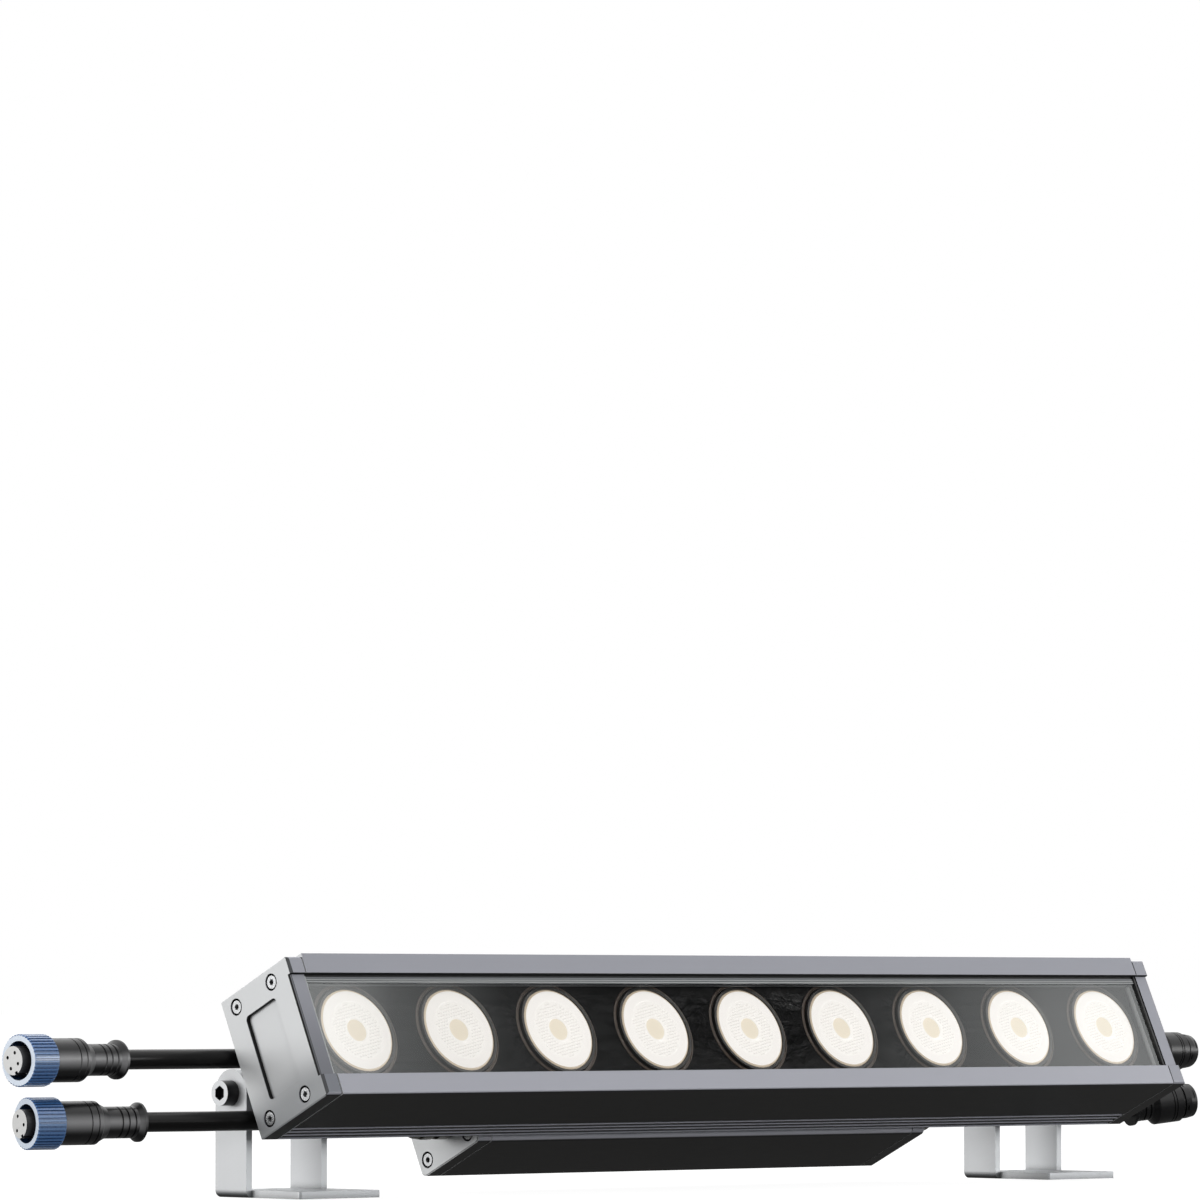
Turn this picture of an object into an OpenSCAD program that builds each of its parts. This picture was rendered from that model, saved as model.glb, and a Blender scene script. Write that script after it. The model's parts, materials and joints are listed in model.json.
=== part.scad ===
// Linear architectural light: an extruded lamp on two tilting brackets, with a driver
// box behind it and two cable tails at each end.
// Frame: origin at the centre of the four bracket fixing holes, on the underside of the
// bracket plates. +X runs along the lamp, -Y is the side that the light leaves, +Z is up.

/* [Lamp] */
// Overall length over the two end caps
lamp_len = 669.8; // [664:0.1:900]
// Depth of the housing, from the back face to the front rails
housing_depth = 59; // [57:0.5:75]
// Height of the housing
housing_height = 80; // [76:0.5:100]
// Thickness of the housing's outer walls
housing_wall = 3.5; // [2.5:0.1:4]
// Height of the upper front rail
rail_top = 9.8; // [9:0.1:13]
// Height of the lower front rail
rail_bottom = 11.7; // [10:0.1:13]
// Depth of the glass behind the front rails
glass_recess = 3.3; // [3:0.1:6]
// Thickness of the front glass
glass_t = 3; // [2:0.1:4]
// Thickness of an end cap
cap_t = 10.2; // [9.4:0.1:14]

/* [Optics] */
// Distance from an end of the lamp to the centre of its first lens
lens_end_margin = 42.9; // [40:0.1:80]
// Distance from a lens to the rail above or below it
lens_edge = 5.5; // [4.7:0.1:8]
// Height of a lens above its circuit board
lens_h = 21.8; // [18:0.1:23]
// Diameter of a light source under a lens
emitter_d = 13; // [8:0.1:14]

/* [Driver box] */
// Length of the driver box over its end caps
driver_len = 349.3; // [320:0.1:420]
// Depth of the driver box
driver_depth = 51; // [46:0.5:60]
// Height of the driver box
driver_height = 80; // [76:0.5:84]
// Wall of the driver box
driver_wall = 2.5; // [2:0.1:4]
// Thickness of a driver end cap
driver_cap_t = 9.9; // [8:0.1:12]
// Air gap between the housing and the driver box
driver_gap = 5.1; // [4:0.1:8]

/* [Brackets] */
// Distance from an end of the lamp to the hole line of its bracket
bracket_inset = 45.4; // [40:0.1:55]
// Distance between the two fixing holes of one bracket
fixing_pitch = 40; // [30:0.5:46]
// Diameter of a fixing hole
fixing_hole_d = 9; // [5:0.1:11]
// Width of a bracket, along the lamp
bracket_w = 61; // [58:0.5:80]
// Depth of a bracket's base plate
bracket_depth = 64.5; // [60:0.5:90]
// Thickness of the bracket plate
bracket_t = 4; // [3:0.1:5]
// Width of an upright arm
arm_w = 25.5; // [22:0.5:30]
// Height of the pivot above the underside of the plate
pivot_height = 55.7; // [54:0.1:80]
// Diameter of the pivot bolt
pivot_bolt_d = 8; // [6:0.1:10]
// Angle at which the lamp rests, tilted up from level
rest_tilt = 25; // [0:1:60]

/* [Cables and connectors] */
// Diameter of a cable
cable_d = 10.5; // [8:0.1:10.6]
// Distance between the upper and the lower gland of a driver end cap
gland_pitch = 36; // [32:0.5:40]
// Diameter over the ribs of a coupling nut
coupling_d = 27.3; // [26:0.1:30]
// Length of a coupling nut
coupling_len = 16.8; // [14:0.1:20]
// Diameter of a connector's moulded body
connector_d = 23; // [20:0.1:23]
// Number of contacts in the upper socket
upper_contacts = 4; // [2:1:5]
// Number of contacts in the lower socket
lower_contacts = 3; // [2:1:5]

/* [Hidden] */
$fn = 48;

// Overrun of every cut past the face that it opens
over = 1;
// Gap between parts that slide or drop together
fit_gap = 0.1;

// Lamp housing
half_len = lamp_len / 2;
lens_count = 9;
cap_gasket_t = 0.8;
housing_len = lamp_len - 2 * (cap_t + cap_gasket_t);
housing_front_r = 1.2;
housing_back_r = 1.2;
window_h = housing_height - rail_top - rail_bottom;
window_mid = rail_bottom + window_h / 2;
mid_height = housing_height / 2;
lip_rise = 1.4;
lip_d = 8;
lens_pitch = (lamp_len - 2 * lens_end_margin) / (lens_count - 1);
lens_d = window_h - 2 * lens_edge;
slot_d = 3.2;
gasket_leg = 0.6;
mask_t = 1.6;
slot_t = glass_t + 2 * gasket_leg + mask_t + fit_gap;
mask_back = housing_depth - glass_recess - slot_t + fit_gap;
lens_front = mask_back - fit_gap;
board_face = lens_front - lens_h;
board_t = 1.6;
spreader_face = board_face - board_t;
spreader_t = 4;
rear_wall = 3;
rear_side_wall = 5.5;
groove_count = 4;
groove_pitch = 4;
groove_w = 2.2;
groove_d = 2;
groove_edge = 1.5;
screw_inset = 7.6;
screw_back = 11;
screw_front_inset = 16.8;
screw_y = [-screw_back, screw_front_inset - housing_depth];
screw_boss_r = 4.6;
screw_core_r = 1.7;
slot_pitch = 26;
slot_z = [mid_height - slot_pitch / 2, mid_height + slot_pitch / 2];
slot_mouth = 5.4;
slot_lip = 2.4;
slot_inner_w = 10.4;
slot_inner_d = 4.6;
slot_wall = 2.2;
rib_t = 2;
rib_len = 7;
rib_count = 5;
rib_pitch = 9;

// End caps and their screws
cap_corner_r = 2.2;
bevel_w = 1.6;
bevel_d = 1.1;
edge_bevel = 0.6;
bar_recess = 1.8;
bar_t = 1.2;
bar_gap = 0.3;
pocket_w = 26.4;
pocket_back = 15.4;
pocket_edge = 15.9;
pocket_h = housing_height - 2 * pocket_edge;
pocket_d = 2.6;
pocket_r = 2.5;
inner_pocket_d = 4;
cap_screw_d = 4;
cap_screw_head_d = 7;
cap_screw_head_h = 3.9;
cap_screw_hex = 3;
cap_screw_hex_d = 2.2;
cap_screw_len = 20;
counterbore_d = 9.2;
counterbore_deep = 4.2;
gasket_inset = 0.6;
cap_hole_gap = 0.4;

// Glass, gasket and mask
gasket_base = 0.9;
gasket_lip = 4;
gasket_rib_w = 1.2;
gasket_rib_h = 0.5;
end_rib_w = 1.8;
end_rib_h = 1.2;
mask_hole_gap = 1.5;

// Lens and holder
lens_rim_t = 2.4;
lens_rim_step = 1.8;
lens_base_d = 17;
lens_cavity_h = 5;
lens_seat_gap = 0.3;
lens_ring_inset = 7.25;
lens_ring_d = lens_d - 2 * lens_ring_inset;
lens_ring_d_in = 13;
lens_ring_depth = 0.4;
lens_curve_steps = 6;
holder_wall = 1.5;
holder_ledge = 1.9;
emitter_t = 0.8;
board_edge = 11;
board_h = housing_height - 2 * board_edge;
board_end_gap = 6;
board_screw_d = 3;
board_screw_head_d = 5.6;
board_screw_head_h = 2;
board_screw_len = 5;

// Pivot hardware
bracket_spacing = lamp_len - 2 * bracket_inset;
plate_half = bracket_w / 2;
welded_arm_inset = 4;
arm_gap = bracket_w - welded_arm_inset - 2 * bracket_t;
pivot_y = bracket_depth / 2 - arm_w / 2;
pivot_back = 28;
pivot_hole_gap = 0.3;
pivot_run_gap = 0.08;
washer_d = 17;
washer_t = 1.5;
flat_washer_t = 1.6;
bolt_head_d = 13.5;
bolt_head_h = 8;
bolt_hex = 7;
bolt_hex_d = 4;
nut_across_flats = 13;
nut_t = 8;
bolt_tail = 3;
bend_r = bracket_t;
plate_corner_r = 1.5;
block_w = arm_gap - 2 * washer_t - 2 * fit_gap;
knuckle_r = 11;
flange_below = 6;
flange_above = 5;
flange_low = slot_z[0] - flange_below;
flange_high = mid_height + flange_above;
flange_t = 6;
web_below = 6;
web_above = 3.5;
web_low = mid_height - web_below;
web_high = mid_height + web_above;
web_top_angle = 18;
web_low_angle = 40;
block_screw_x = 14;
m5_d = 5;
m5_head_d = 8.5;
m5_head_h = 5;
m5_hex = 4;
m5_hex_d = 2.6;
m5_hole_gap = 0.2;
slot_nut_w = 9.6;
slot_nut_t = 3.6;
slot_nut_len = 14;

// Driver box
driver_half = driver_len / 2;
driver_front = driver_gap;
driver_back = driver_gap + driver_depth;
driver_low = mid_height - driver_height / 2;
driver_high = mid_height + driver_height / 2;
driver_gasket_t = 0.6;
driver_case_len = driver_len - 2 * (driver_cap_t + driver_gasket_t);
driver_corner_r = 3.5;
driver_screw_inset = 7.6;
driver_boss_r = driver_screw_inset - driver_wall + fit_gap;
driver_screw_y = [driver_front + driver_screw_inset, driver_back - driver_screw_inset];
driver_screw_z = [driver_low + driver_screw_inset, driver_high - driver_screw_inset];
driver_groove_count = 7;
driver_groove_pitch = 9;
driver_groove_w = 3;
driver_groove_d = 1.2;
driver_back_wall = 3.5;
driver_edge_bevel = 0.5;
module_half = 125;
module_gap = 0.3;
spacer_x = 145;
spacer_w = 24;
spacer_edge = 10;
spacer_h = slot_pitch + 2 * spacer_edge;
spacer_r = 3;
grommet_d = 11;
grommet_neck_d = 9;
grommet_lip = 1.5;
lead_d = 5.5;

// Glands
gland_back = 24;
gland_collar_d = 22;
gland_collar_len = 4.4;
gland_hex = 23;
gland_hex_len = 6.9;
gland_neck_d = 19;
gland_neck_len = 4.2;
gland_nut_len = 12.5;
gland_nut_d = 24.6;
gland_nut_hex = 23;
gland_dome_d = 17;
gland_dome_len = 5.5;
dome_step = 15;
gland_shank_d = 19.5;
gland_bore_gap = 0.25;
gland_blind = 6;
gland_len = gland_collar_len + gland_hex_len + gland_neck_len + gland_nut_len;
gland_thread_lap = 8;

// Connectors
rear_shoulder = 41;
neck_start = 46;
neck_d = 16.7;
neck_grooves = [53.1, 57.1, 61.2];
neck_groove_w = 1.2;
neck_groove_d = 0.7;
flare_start = 64.2;
flare_end = 66.6;
flange_d = 20.8;
socket_len = 68;
body_grooves = [33, 37.3];
body_groove_w = 0.8;
body_groove_d = 0.5;
body_edge = 0.8;
coupling_bore_d = 20.4;
coupling_wall = 2.5;
coupling_run_gap = 0.2;
coupling_ribs = 40;
coupling_rib_h = 0.7;
coupling_face_d = 26.2;
coupling_face_len = 0.6;
rib_share = 0.3;
rib_top_share = 0.22;
neck_run_d = 17;
trap_d = 19.6;
trap_t = 2.2;
insert_d = 15;
insert_proud = 3.9;
contact_d = 1.9;
contact_circle_share = 0.29;
contact_depth = 7;
key_w = 2;
key_d = 1.4;
plug_sleeve_len = 8;
plug_sleeve_d = 20.6;
plug_tip_d = 19.6;
plug_gap_w = 1.3;
plug_gap_d = 1.2;
plug_barrel_len = 17.7;
plug_neck_len = 13.4;
plug_flange_t = 2;
plug_bore_d = 14;
plug_bore_len = 8;
pin_d = 1.6;
pin_len = 6;
plug_mark_w = 0.9;
plug_mark_d = 0.8;
plug_mark_len = 5.5;
plug_mark_at = 2;
plug_notch_len = 3;
plug_mark_count = 4;
plug_groove_w = 0.7;
plug_groove_back = [5.2, 7];
plug_taper_share = 0.55;
plug_ring_share = 0.8;

// Routes of the four cable tails, in the lamp's own axes: along the lamp, behind the
// back face, above the lower edge
left_lower_route = [
  [-184, 24, 22], [-196, 24, 22], [-206, 24, 22], [-212, 23.4, 21.7], [-219, 21.2, 20.7],
  [-226, 17.8, 19.2], [-233, 14, 17.6], [-240, 10.7, 16.2], [-247, 8.6, 15.3],
  [-253, 8, 15], [-280, 8, 15], [-310, 8, 15], [-330, 8.1, 15], [-348, 8.9, 15.4],
  [-361, 10.1, 15.9], [-373, 11.6, 16.6], [-386, 13.3, 17.4], [-401, 15.3, 18.3],
];
left_upper_route = [
  [-184, 24, 58], [-196, 24, 58], [-206, 24, 58], [-212, 23.4, 57.7], [-219, 21.2, 56.7],
  [-226, 17.8, 55.2], [-233, 14, 53.6], [-240, 10.7, 52.2], [-247, 8.6, 51.3],
  [-253, 8, 51], [-280, 8, 51], [-310, 8, 51], [-340, 8, 51], [-365, 7.8, 50.9],
  [-388, 7.3, 50.7], [-411, 6.5, 50.3],
];
right_lower_route = [
  [184, 24, 22], [196, 24, 22], [206, 24, 22], [212, 23.4, 21.7], [219, 21.2, 20.7],
  [226, 17.8, 19.2], [233, 14, 17.6], [240, 10.7, 16.2], [247, 8.6, 15.3],
  [253, 8, 15], [275, 8, 14.8], [297, 8.2, 14], [312, 8.9, 13.2], [321, 9.2, 12.8],
  [329, 9.1, 12.5], [337, 8.4, 12.4], [344.5, 6.6, 12.2], [352, 3.8, 11.9],
];
right_upper_route = [
  [184, 24, 58], [196, 24, 58], [206, 24, 58], [212, 23.4, 57.7], [219, 21.2, 56.7],
  [226, 17.8, 55.2], [233, 14, 53.6], [240, 10.7, 52.2], [247, 8.6, 51.3],
  [253, 8, 51], [275, 8, 51], [305, 8, 51], [335, 8, 51], [360, 8, 51], [385, 8, 51],
];
cable_sides = 12;

// Places the lamp's own axes, whose origin is at the middle of the housing's lower
// back edge, in the part's frame at the rest tilt
module lamp_frame() {
  translate([0, pivot_y, pivot_height])
    rotate([-rest_tilt, 0, 0])
      translate([0, -pivot_back, -mid_height])
        children();
}

// Mirrors a piece that is drawn at the left end to the right end
module at_end(right) {
  mirror([right ? 1 : 0, 0, 0]) children();
}

// Extrudes an outline drawn as (behind, above) along the lamp
module along_lamp(x0, len) {
  translate([x0, 0, 0])
    rotate([90, 0, 90])
      linear_extrude(len)
        children();
}

// Rectangle from a corner, with its own radius at the low-y and at the high-y side
module rounded_box(w, h, r0, r1) {
  translate([r0, 0]) square([w - r0 - r1, h]);
  translate([0, r0]) square([w, h - r0 - r0]);
  translate([w - r1, r1]) square([r1, h - 2 * r1]);
  for (z = [r0, h - r0]) translate([r0, z]) circle(r0);
  for (z = [r1, h - r1]) translate([w - r1, z]) circle(r1);
}

// Regular hexagonal prism by its width across flats
module hex_prism(across, h) {
  cylinder(h = h, d = across / cos(30), $fn = 6);
}

// Socket screw with its axis along +Z, head below zero and shank above
module socket_screw(d, head_d, head_h, len, hex, hex_d) {
  difference() {
    union() {
      translate([0, 0, -head_h]) cylinder(h = head_h, d = head_d);
      cylinder(h = len, d = d);
    }
    translate([0, 0, -head_h - over]) hex_prism(hex, hex_d + over);
  }
}

// Places children at the four screw positions of an outline seen from the end
module at_cap_screws() {
  for (y = screw_y)
    for (z = [screw_inset, housing_height - screw_inset])
      translate([0, y, z]) rotate([0, 90, 0]) children();
}

module at_driver_screws() {
  for (y = driver_screw_y)
    for (z = driver_screw_z)
      translate([0, y, z]) rotate([0, 90, 0]) children();
}

// Housing

module slot_outline() {
  translate([-slot_lip - over, -slot_mouth / 2]) square([slot_lip + 2 * over, slot_mouth]);
  translate([-slot_lip - slot_inner_d, -slot_inner_w / 2]) square([slot_inner_d, slot_inner_w]);
}

module slot_walls() {
  wall_d = slot_lip + slot_inner_d + slot_wall;
  wall_w = slot_inner_w + 2 * slot_wall;
  translate([-wall_d, -wall_w / 2]) square([wall_d - rear_wall / 2, wall_w]);
}

module housing_outline() {
  chamber_front = housing_depth - glass_recess - slot_t;
  spreader_back = spreader_face - spreader_t;
  slot_top = rail_bottom + window_h + slot_d;
  difference() {
    translate([-housing_depth, 0])
      rounded_box(housing_depth, housing_height, housing_front_r, housing_back_r);
    translate([-housing_depth - over, rail_bottom])
      square([glass_recess + 2 * over, window_h]);
    translate([-housing_depth + glass_recess, rail_bottom - slot_d])
      square([slot_t, window_h + 2 * slot_d]);
    difference() {
      translate([-chamber_front - over, housing_wall])
        square([chamber_front - spreader_face + over, housing_height - 2 * housing_wall]);
      for (z = [screw_inset, housing_height - screw_inset])
        translate([screw_y[1], z]) circle(screw_boss_r);
      translate([-chamber_front - over, 0]) square([over, rail_bottom - slot_d]);
      translate([-chamber_front - over, slot_top]) square([over, rail_top - slot_d]);
    }
    difference() {
      translate([-spreader_back, rear_side_wall])
        square([spreader_back - rear_wall, housing_height - 2 * rear_side_wall]);
      for (z = [screw_inset, housing_height - screw_inset])
        translate([screw_y[0], z]) circle(screw_boss_r);
      for (z = slot_z) translate([0, z]) slot_walls();
      for (k = [0:rib_count - 1])
        translate([-spreader_back, mid_height + (k - (rib_count - 1) / 2) * rib_pitch - rib_t / 2])
          square([rib_len, rib_t]);
    }
    for (y = screw_y)
      for (z = [screw_inset, housing_height - screw_inset])
        translate([y, z]) circle(screw_core_r);
    for (z = slot_z) translate([0, z]) slot_outline();
    for (k = [0:groove_count - 1])
      for (z = [-over, housing_height - groove_d])
        translate([-groove_edge - k * groove_pitch - groove_w, z])
          square([groove_w, groove_d + over]);
  }
}

// Lip of the upper rail, which stands above the end caps
module lip_outline() {
  translate([-housing_depth, housing_height])
    polygon([
      [0, -housing_front_r - lip_rise], [0, lip_rise], [lip_d - lip_rise, lip_rise],
      [lip_d, 0], [lip_d, -lip_rise],
    ]);
}

module housing() {
  color("#3a3b3e")
    lamp_frame()
      difference() {
        union() {
          along_lamp(-housing_len / 2, housing_len) housing_outline();
          along_lamp(-housing_len / 2, housing_len) lip_outline();
        }
        translate([0, over, mid_height])
          rotate([90, 0, 0])
            cylinder(h = rear_wall + 2 * over, d = grommet_neck_d + fit_gap);
        translate([0, -rear_wall, mid_height])
          rotate([90, 0, 0])
            cylinder(h = spreader_face, d = lead_d + 2 * lens_seat_gap);
        for (i = [1:lens_count - 1])
          translate([lens_x(i) - lens_pitch / 2, -spreader_face - over, window_mid])
            rotate([-90, 0, 0])
              cylinder(h = board_screw_len + over, d = board_screw_d);
      }
}

// End caps

module cap_outline() {
  translate([-housing_depth, 0])
    rounded_box(housing_depth, housing_height, cap_corner_r, housing_back_r);
}

module pocket_outline(y_back, w, z0, h, r) {
  translate([-y_back - w, z0]) rounded_box(w, h, r, r);
}

module cap_plan() {
  polygon([
    [-half_len + edge_bevel, over],
    [-half_len + edge_bevel, 0],
    [-half_len, -edge_bevel],
    [-half_len, -housing_depth + bevel_d],
    [-half_len + bevel_w, -housing_depth],
    [-half_len + 2 * bevel_w, -housing_depth - bevel_d],
    [-half_len + cap_t + over, -housing_depth - bevel_d],
    [-half_len + cap_t + over, over],
  ]);
}

module cap_side() {
  polygon([
    [-half_len, edge_bevel],
    [-half_len + edge_bevel, 0],
    [-half_len + cap_t + over, 0],
    [-half_len + cap_t + over, housing_height],
    [-half_len + edge_bevel, housing_height],
    [-half_len, housing_height - edge_bevel],
  ]);
}

module bar_notch() {
  translate([-half_len - over, -housing_depth - over, rail_bottom])
    cube([cap_t + 2 * over, bar_recess + bar_t + over, window_h]);
}

module end_cap_left() {
  inner = housing_wall + screw_inset;
  difference() {
    intersection() {
      along_lamp(-half_len, cap_t) cap_outline();
      translate([0, 0, -over]) linear_extrude(housing_height + 2 * over) cap_plan();
      translate([0, over, 0])
        rotate([90, 0, 0])
          linear_extrude(housing_depth + 2 * over)
            cap_side();
    }
    bar_notch();
    along_lamp(-half_len - over, pocket_d + over)
      pocket_outline(pocket_back, pocket_w, mid_height - pocket_h / 2, pocket_h, pocket_r);
    along_lamp(-half_len + cap_t - inner_pocket_d, inner_pocket_d + over)
      pocket_outline(
        inner, housing_depth - 2 * inner,
        inner, housing_height - 2 * inner, pocket_r
      );
    translate([-half_len - over, 0, 0]) {
      at_cap_screws() cylinder(h = cap_t + 2 * over, d = cap_screw_d + cap_hole_gap);
      at_cap_screws() cylinder(h = counterbore_deep + over, d = counterbore_d);
    }
  }
}

module end_cap(right) {
  color("#b9bbbe") lamp_frame() at_end(right) end_cap_left();
}

module end_gaskets() {
  inset_w = housing_depth - 2 * gasket_inset;
  inset_h = housing_height - 2 * gasket_inset;
  color("#17171a")
    lamp_frame()
      for (right = [false, true])
        at_end(right)
          along_lamp(-half_len + cap_t, cap_gasket_t)
            difference() {
              intersection() {
                housing_outline();
                translate([-housing_depth + gasket_inset, gasket_inset])
                  square([inset_w, inset_h]);
              }
              for (y = screw_y)
                for (z = [screw_inset, housing_height - screw_inset])
                  translate([y, z]) circle(d = cap_screw_d + cap_hole_gap);
            }
}

module end_cap_screws() {
  color("#c8cacc")
    lamp_frame()
      for (right = [false, true])
        at_end(right)
          translate([-half_len + counterbore_deep, 0, 0])
            at_cap_screws()
              socket_screw(
                2 * screw_core_r, cap_screw_head_d, cap_screw_head_h,
                cap_screw_len, cap_screw_hex, cap_screw_hex_d
              );
}

module end_bar_left() {
  front = -housing_depth + bar_recess;
  inner_x = -half_len + cap_t - fit_gap;
  translate([0, 0, rail_bottom + bar_gap])
    linear_extrude(window_h - 2 * bar_gap)
      polygon([
        [-half_len, front + bar_t], [-half_len, front + bevel_d], [-half_len + bevel_w, front],
        [inner_x, front], [inner_x, front + bar_t],
      ]);
}

module end_bar(right) {
  color("#9a9ca2") lamp_frame() at_end(right) end_bar_left();
}

// Glass, gasket and mask

pack_len = lamp_len - 2 * cap_t - 2 * fit_gap;
gasket_h = window_h + 2 * slot_d - 2 * fit_gap;
gasket_front = -housing_depth + glass_recess;
glass_h = gasket_h - 2 * gasket_base;
glass_len = pack_len - 2 * gasket_base;

module centred_box(len, y0, t, h) {
  translate([-len / 2, y0, window_mid - h / 2]) cube([len, t, h]);
}

module front_glass() {
  color("#9fb4b8", 0.35)
    lamp_frame()
      centred_box(glass_len, gasket_front + gasket_leg, glass_t, glass_h);
}

module glass_gasket() {
  band = glass_t + 2 * gasket_leg;
  open_len = housing_len - 2 * gasket_lip;
  open_h = window_h - 2 * gasket_lip;
  color("#4a4d50")
    lamp_frame()
      difference() {
        union() {
          centred_box(pack_len, gasket_front, band, gasket_h);
          for (z = [rail_bottom + gasket_rib_w, rail_bottom + window_h - 2 * gasket_rib_w])
            translate([-housing_len / 2, gasket_front - gasket_rib_h, z])
              cube([housing_len, gasket_rib_h + gasket_leg / 2, gasket_rib_w]);
          for (x = [-housing_len / 2, housing_len / 2 - end_rib_w])
            translate([x, gasket_front - end_rib_h, rail_bottom + fit_gap])
              cube([end_rib_w, end_rib_h + gasket_leg / 2, window_h - 2 * fit_gap]);
        }
        centred_box(glass_len, gasket_front + gasket_leg, glass_t, glass_h);
        centred_box(open_len, gasket_front - over, band + 2 * over, open_h);
      }
}

module lens_mask() {
  mask_front = -mask_back - mask_t + fit_gap / 2;
  color("#101113")
    lamp_frame()
      difference() {
        centred_box(housing_len, mask_front, mask_t - fit_gap, gasket_h);
        for (i = [0:lens_count - 1])
          at_lens(i)
            translate([0, 0, -over])
              cylinder(h = lens_front + over, d = lens_d + mask_hole_gap, $fn = 96);
      }
}

// Optics

function lens_x(i) = (i - (lens_count - 1) / 2) * lens_pitch;

// Puts the board's surface at zero with +Z towards the glass
module at_lens(i) {
  translate([lens_x(i), -board_face, window_mid])
    rotate([90, 0, 0])
      children();
}

module lens(i) {
  rim_r = lens_d / 2;
  base_r = lens_base_d / 2;
  cone_r = rim_r - lens_rim_step;
  cavity_r = emitter_d / 2 + lens_seat_gap;
  cone_h = lens_h - lens_rim_t;
  side = [
    for (k = [1:lens_curve_steps])
      let (t = k / lens_curve_steps)
        [base_r + (cone_r - base_r) * sin(90 * t), cone_h * t]
  ];
  color("#f4efe2")
    lamp_frame()
      at_lens(i)
        rotate_extrude($fn = 64)
          polygon(concat(
            [[0, lens_cavity_h], [cavity_r, lens_cavity_h], [cavity_r, 0], [base_r, 0]],
            side,
            [
              [rim_r, cone_h], [rim_r, lens_h],
              [lens_ring_d / 2, lens_h], [lens_ring_d / 2, lens_h - lens_ring_depth],
              [lens_ring_d_in / 2, lens_h - lens_ring_depth], [lens_ring_d_in / 2, lens_h],
              [0, lens_h],
            ]
          ));
}

module lens_holders() {
  inner_r = lens_d / 2 + lens_seat_gap;
  outer_r = inner_r + holder_wall;
  seat_h = lens_h - lens_rim_t - lens_seat_gap;
  color("#8e9094")
    lamp_frame()
      for (i = [0:lens_count - 1])
        at_lens(i)
          difference() {
            cylinder(h = lens_h, r = outer_r, $fn = 64);
            translate([0, 0, seat_h])
              cylinder(h = lens_h, r = inner_r, $fn = 64);
            translate([0, 0, -over])
              cylinder(h = lens_h, r = inner_r - holder_ledge, $fn = 64);
          }
}

module led_board() {
  len = housing_len - 2 * board_end_gap;
  color("#d9dcd8")
    lamp_frame()
      difference() {
        translate([-len / 2, -board_face, window_mid - board_h / 2])
          cube([len, board_t, board_h]);
        for (i = [1:lens_count - 1])
          translate([lens_x(i) - lens_pitch / 2, -board_face - over, window_mid])
            rotate([-90, 0, 0])
              cylinder(h = board_t + 2 * over, d = board_screw_d + cap_hole_gap);
      }
}

module led_emitters() {
  color("#e8dfae")
    lamp_frame()
      for (i = [0:lens_count - 1])
        at_lens(i) cylinder(h = emitter_t, d = emitter_d);
}

module board_screws() {
  color("#c8cacc")
    lamp_frame()
      for (i = [1:lens_count - 1])
        translate([lens_x(i) - lens_pitch / 2, -board_face, window_mid])
          rotate([-90, 0, 0])
            socket_screw(
              board_screw_d - fit_gap, board_screw_head_d, board_screw_head_h,
              board_screw_len, board_screw_head_h, board_screw_head_h / 2
            );
}

// Brackets

// The left bracket's holes are at minus half the spacing and the right one's at plus half
function bracket_x(right) = (right ? 1 : -1) * bracket_spacing / 2;

module arm_outline(z0) {
  translate([pivot_y - arm_w / 2, z0]) square([arm_w, pivot_height - z0]);
  translate([pivot_y, pivot_height]) circle(d = arm_w, $fn = 64);
}

module arm_plate(x0, z0) {
  difference() {
    along_lamp(x0, bracket_t) arm_outline(z0);
    translate([x0 - over, pivot_y, pivot_height])
      rotate([0, 90, 0])
        cylinder(h = bracket_t + 2 * over, d = pivot_bolt_d + 2 * pivot_hole_gap);
  }
}

// Base plate with one arm folded up from its outer edge
module bracket(right) {
  color("#b4b6b9")
    translate([bracket_x(right), 0, 0]) {
      difference() {
        translate([-plate_half + bracket_t, -bracket_depth / 2, 0])
          linear_extrude(bracket_t)
            rounded_box(bracket_w - bracket_t, bracket_depth, plate_corner_r, plate_corner_r);
        for (y = [-fixing_pitch / 2, fixing_pitch / 2])
          translate([0, y, -over]) cylinder(h = bracket_t + 2 * over, d = fixing_hole_d);
      }
      arm_plate(-plate_half, bend_r);
      intersection() {
        translate([-plate_half + bend_r, pivot_y + arm_w / 2, bend_r])
          rotate([90, 0, 0])
            cylinder(h = arm_w, r = bend_r);
        translate([-plate_half, pivot_y - arm_w / 2, 0])
          cube([bend_r, arm_w, bend_r]);
      }
      translate([-plate_half + bend_r - fit_gap, pivot_y - arm_w / 2, 0])
        cube([plate_corner_r + fit_gap, arm_w, bracket_t]);
    }
}

module welded_arm(right) {
  color("#b4b6b9")
    translate([bracket_x(right), 0, 0])
      arm_plate(plate_half - welded_arm_inset - bracket_t, bracket_t);
}

// Distance from the bracket's hole line to the outer face of its folded arm
arm_outer = -plate_half;
welded_outer = plate_half - welded_arm_inset;

module pivot_axis(right) {
  translate([bracket_x(right), pivot_y, pivot_height]) rotate([0, 90, 0]) children();
}

module pivot_bolt(right) {
  shank = welded_outer - arm_outer + flat_washer_t + nut_t + bolt_tail;
  color("#1c1d1f")
    pivot_axis(right)
      translate([0, 0, arm_outer])
        socket_screw(pivot_bolt_d, bolt_head_d, bolt_head_h, shank, bolt_hex, bolt_hex_d);
}

module ring(d, bore, t) {
  difference() {
    cylinder(h = t, d = d);
    translate([0, 0, -over]) cylinder(h = t + 2 * over, d = bore);
  }
}

module pivot_washers() {
  bore = pivot_bolt_d + 2 * pivot_hole_gap;
  color("#2a2b2d")
    for (right = [false, true])
      pivot_axis(right) {
        translate([0, 0, arm_outer + bracket_t]) ring(washer_d, bore, washer_t);
        translate([0, 0, welded_outer - bracket_t - washer_t]) ring(washer_d, bore, washer_t);
        translate([0, 0, welded_outer]) ring(washer_d, bore, flat_washer_t);
      }
}

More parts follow.
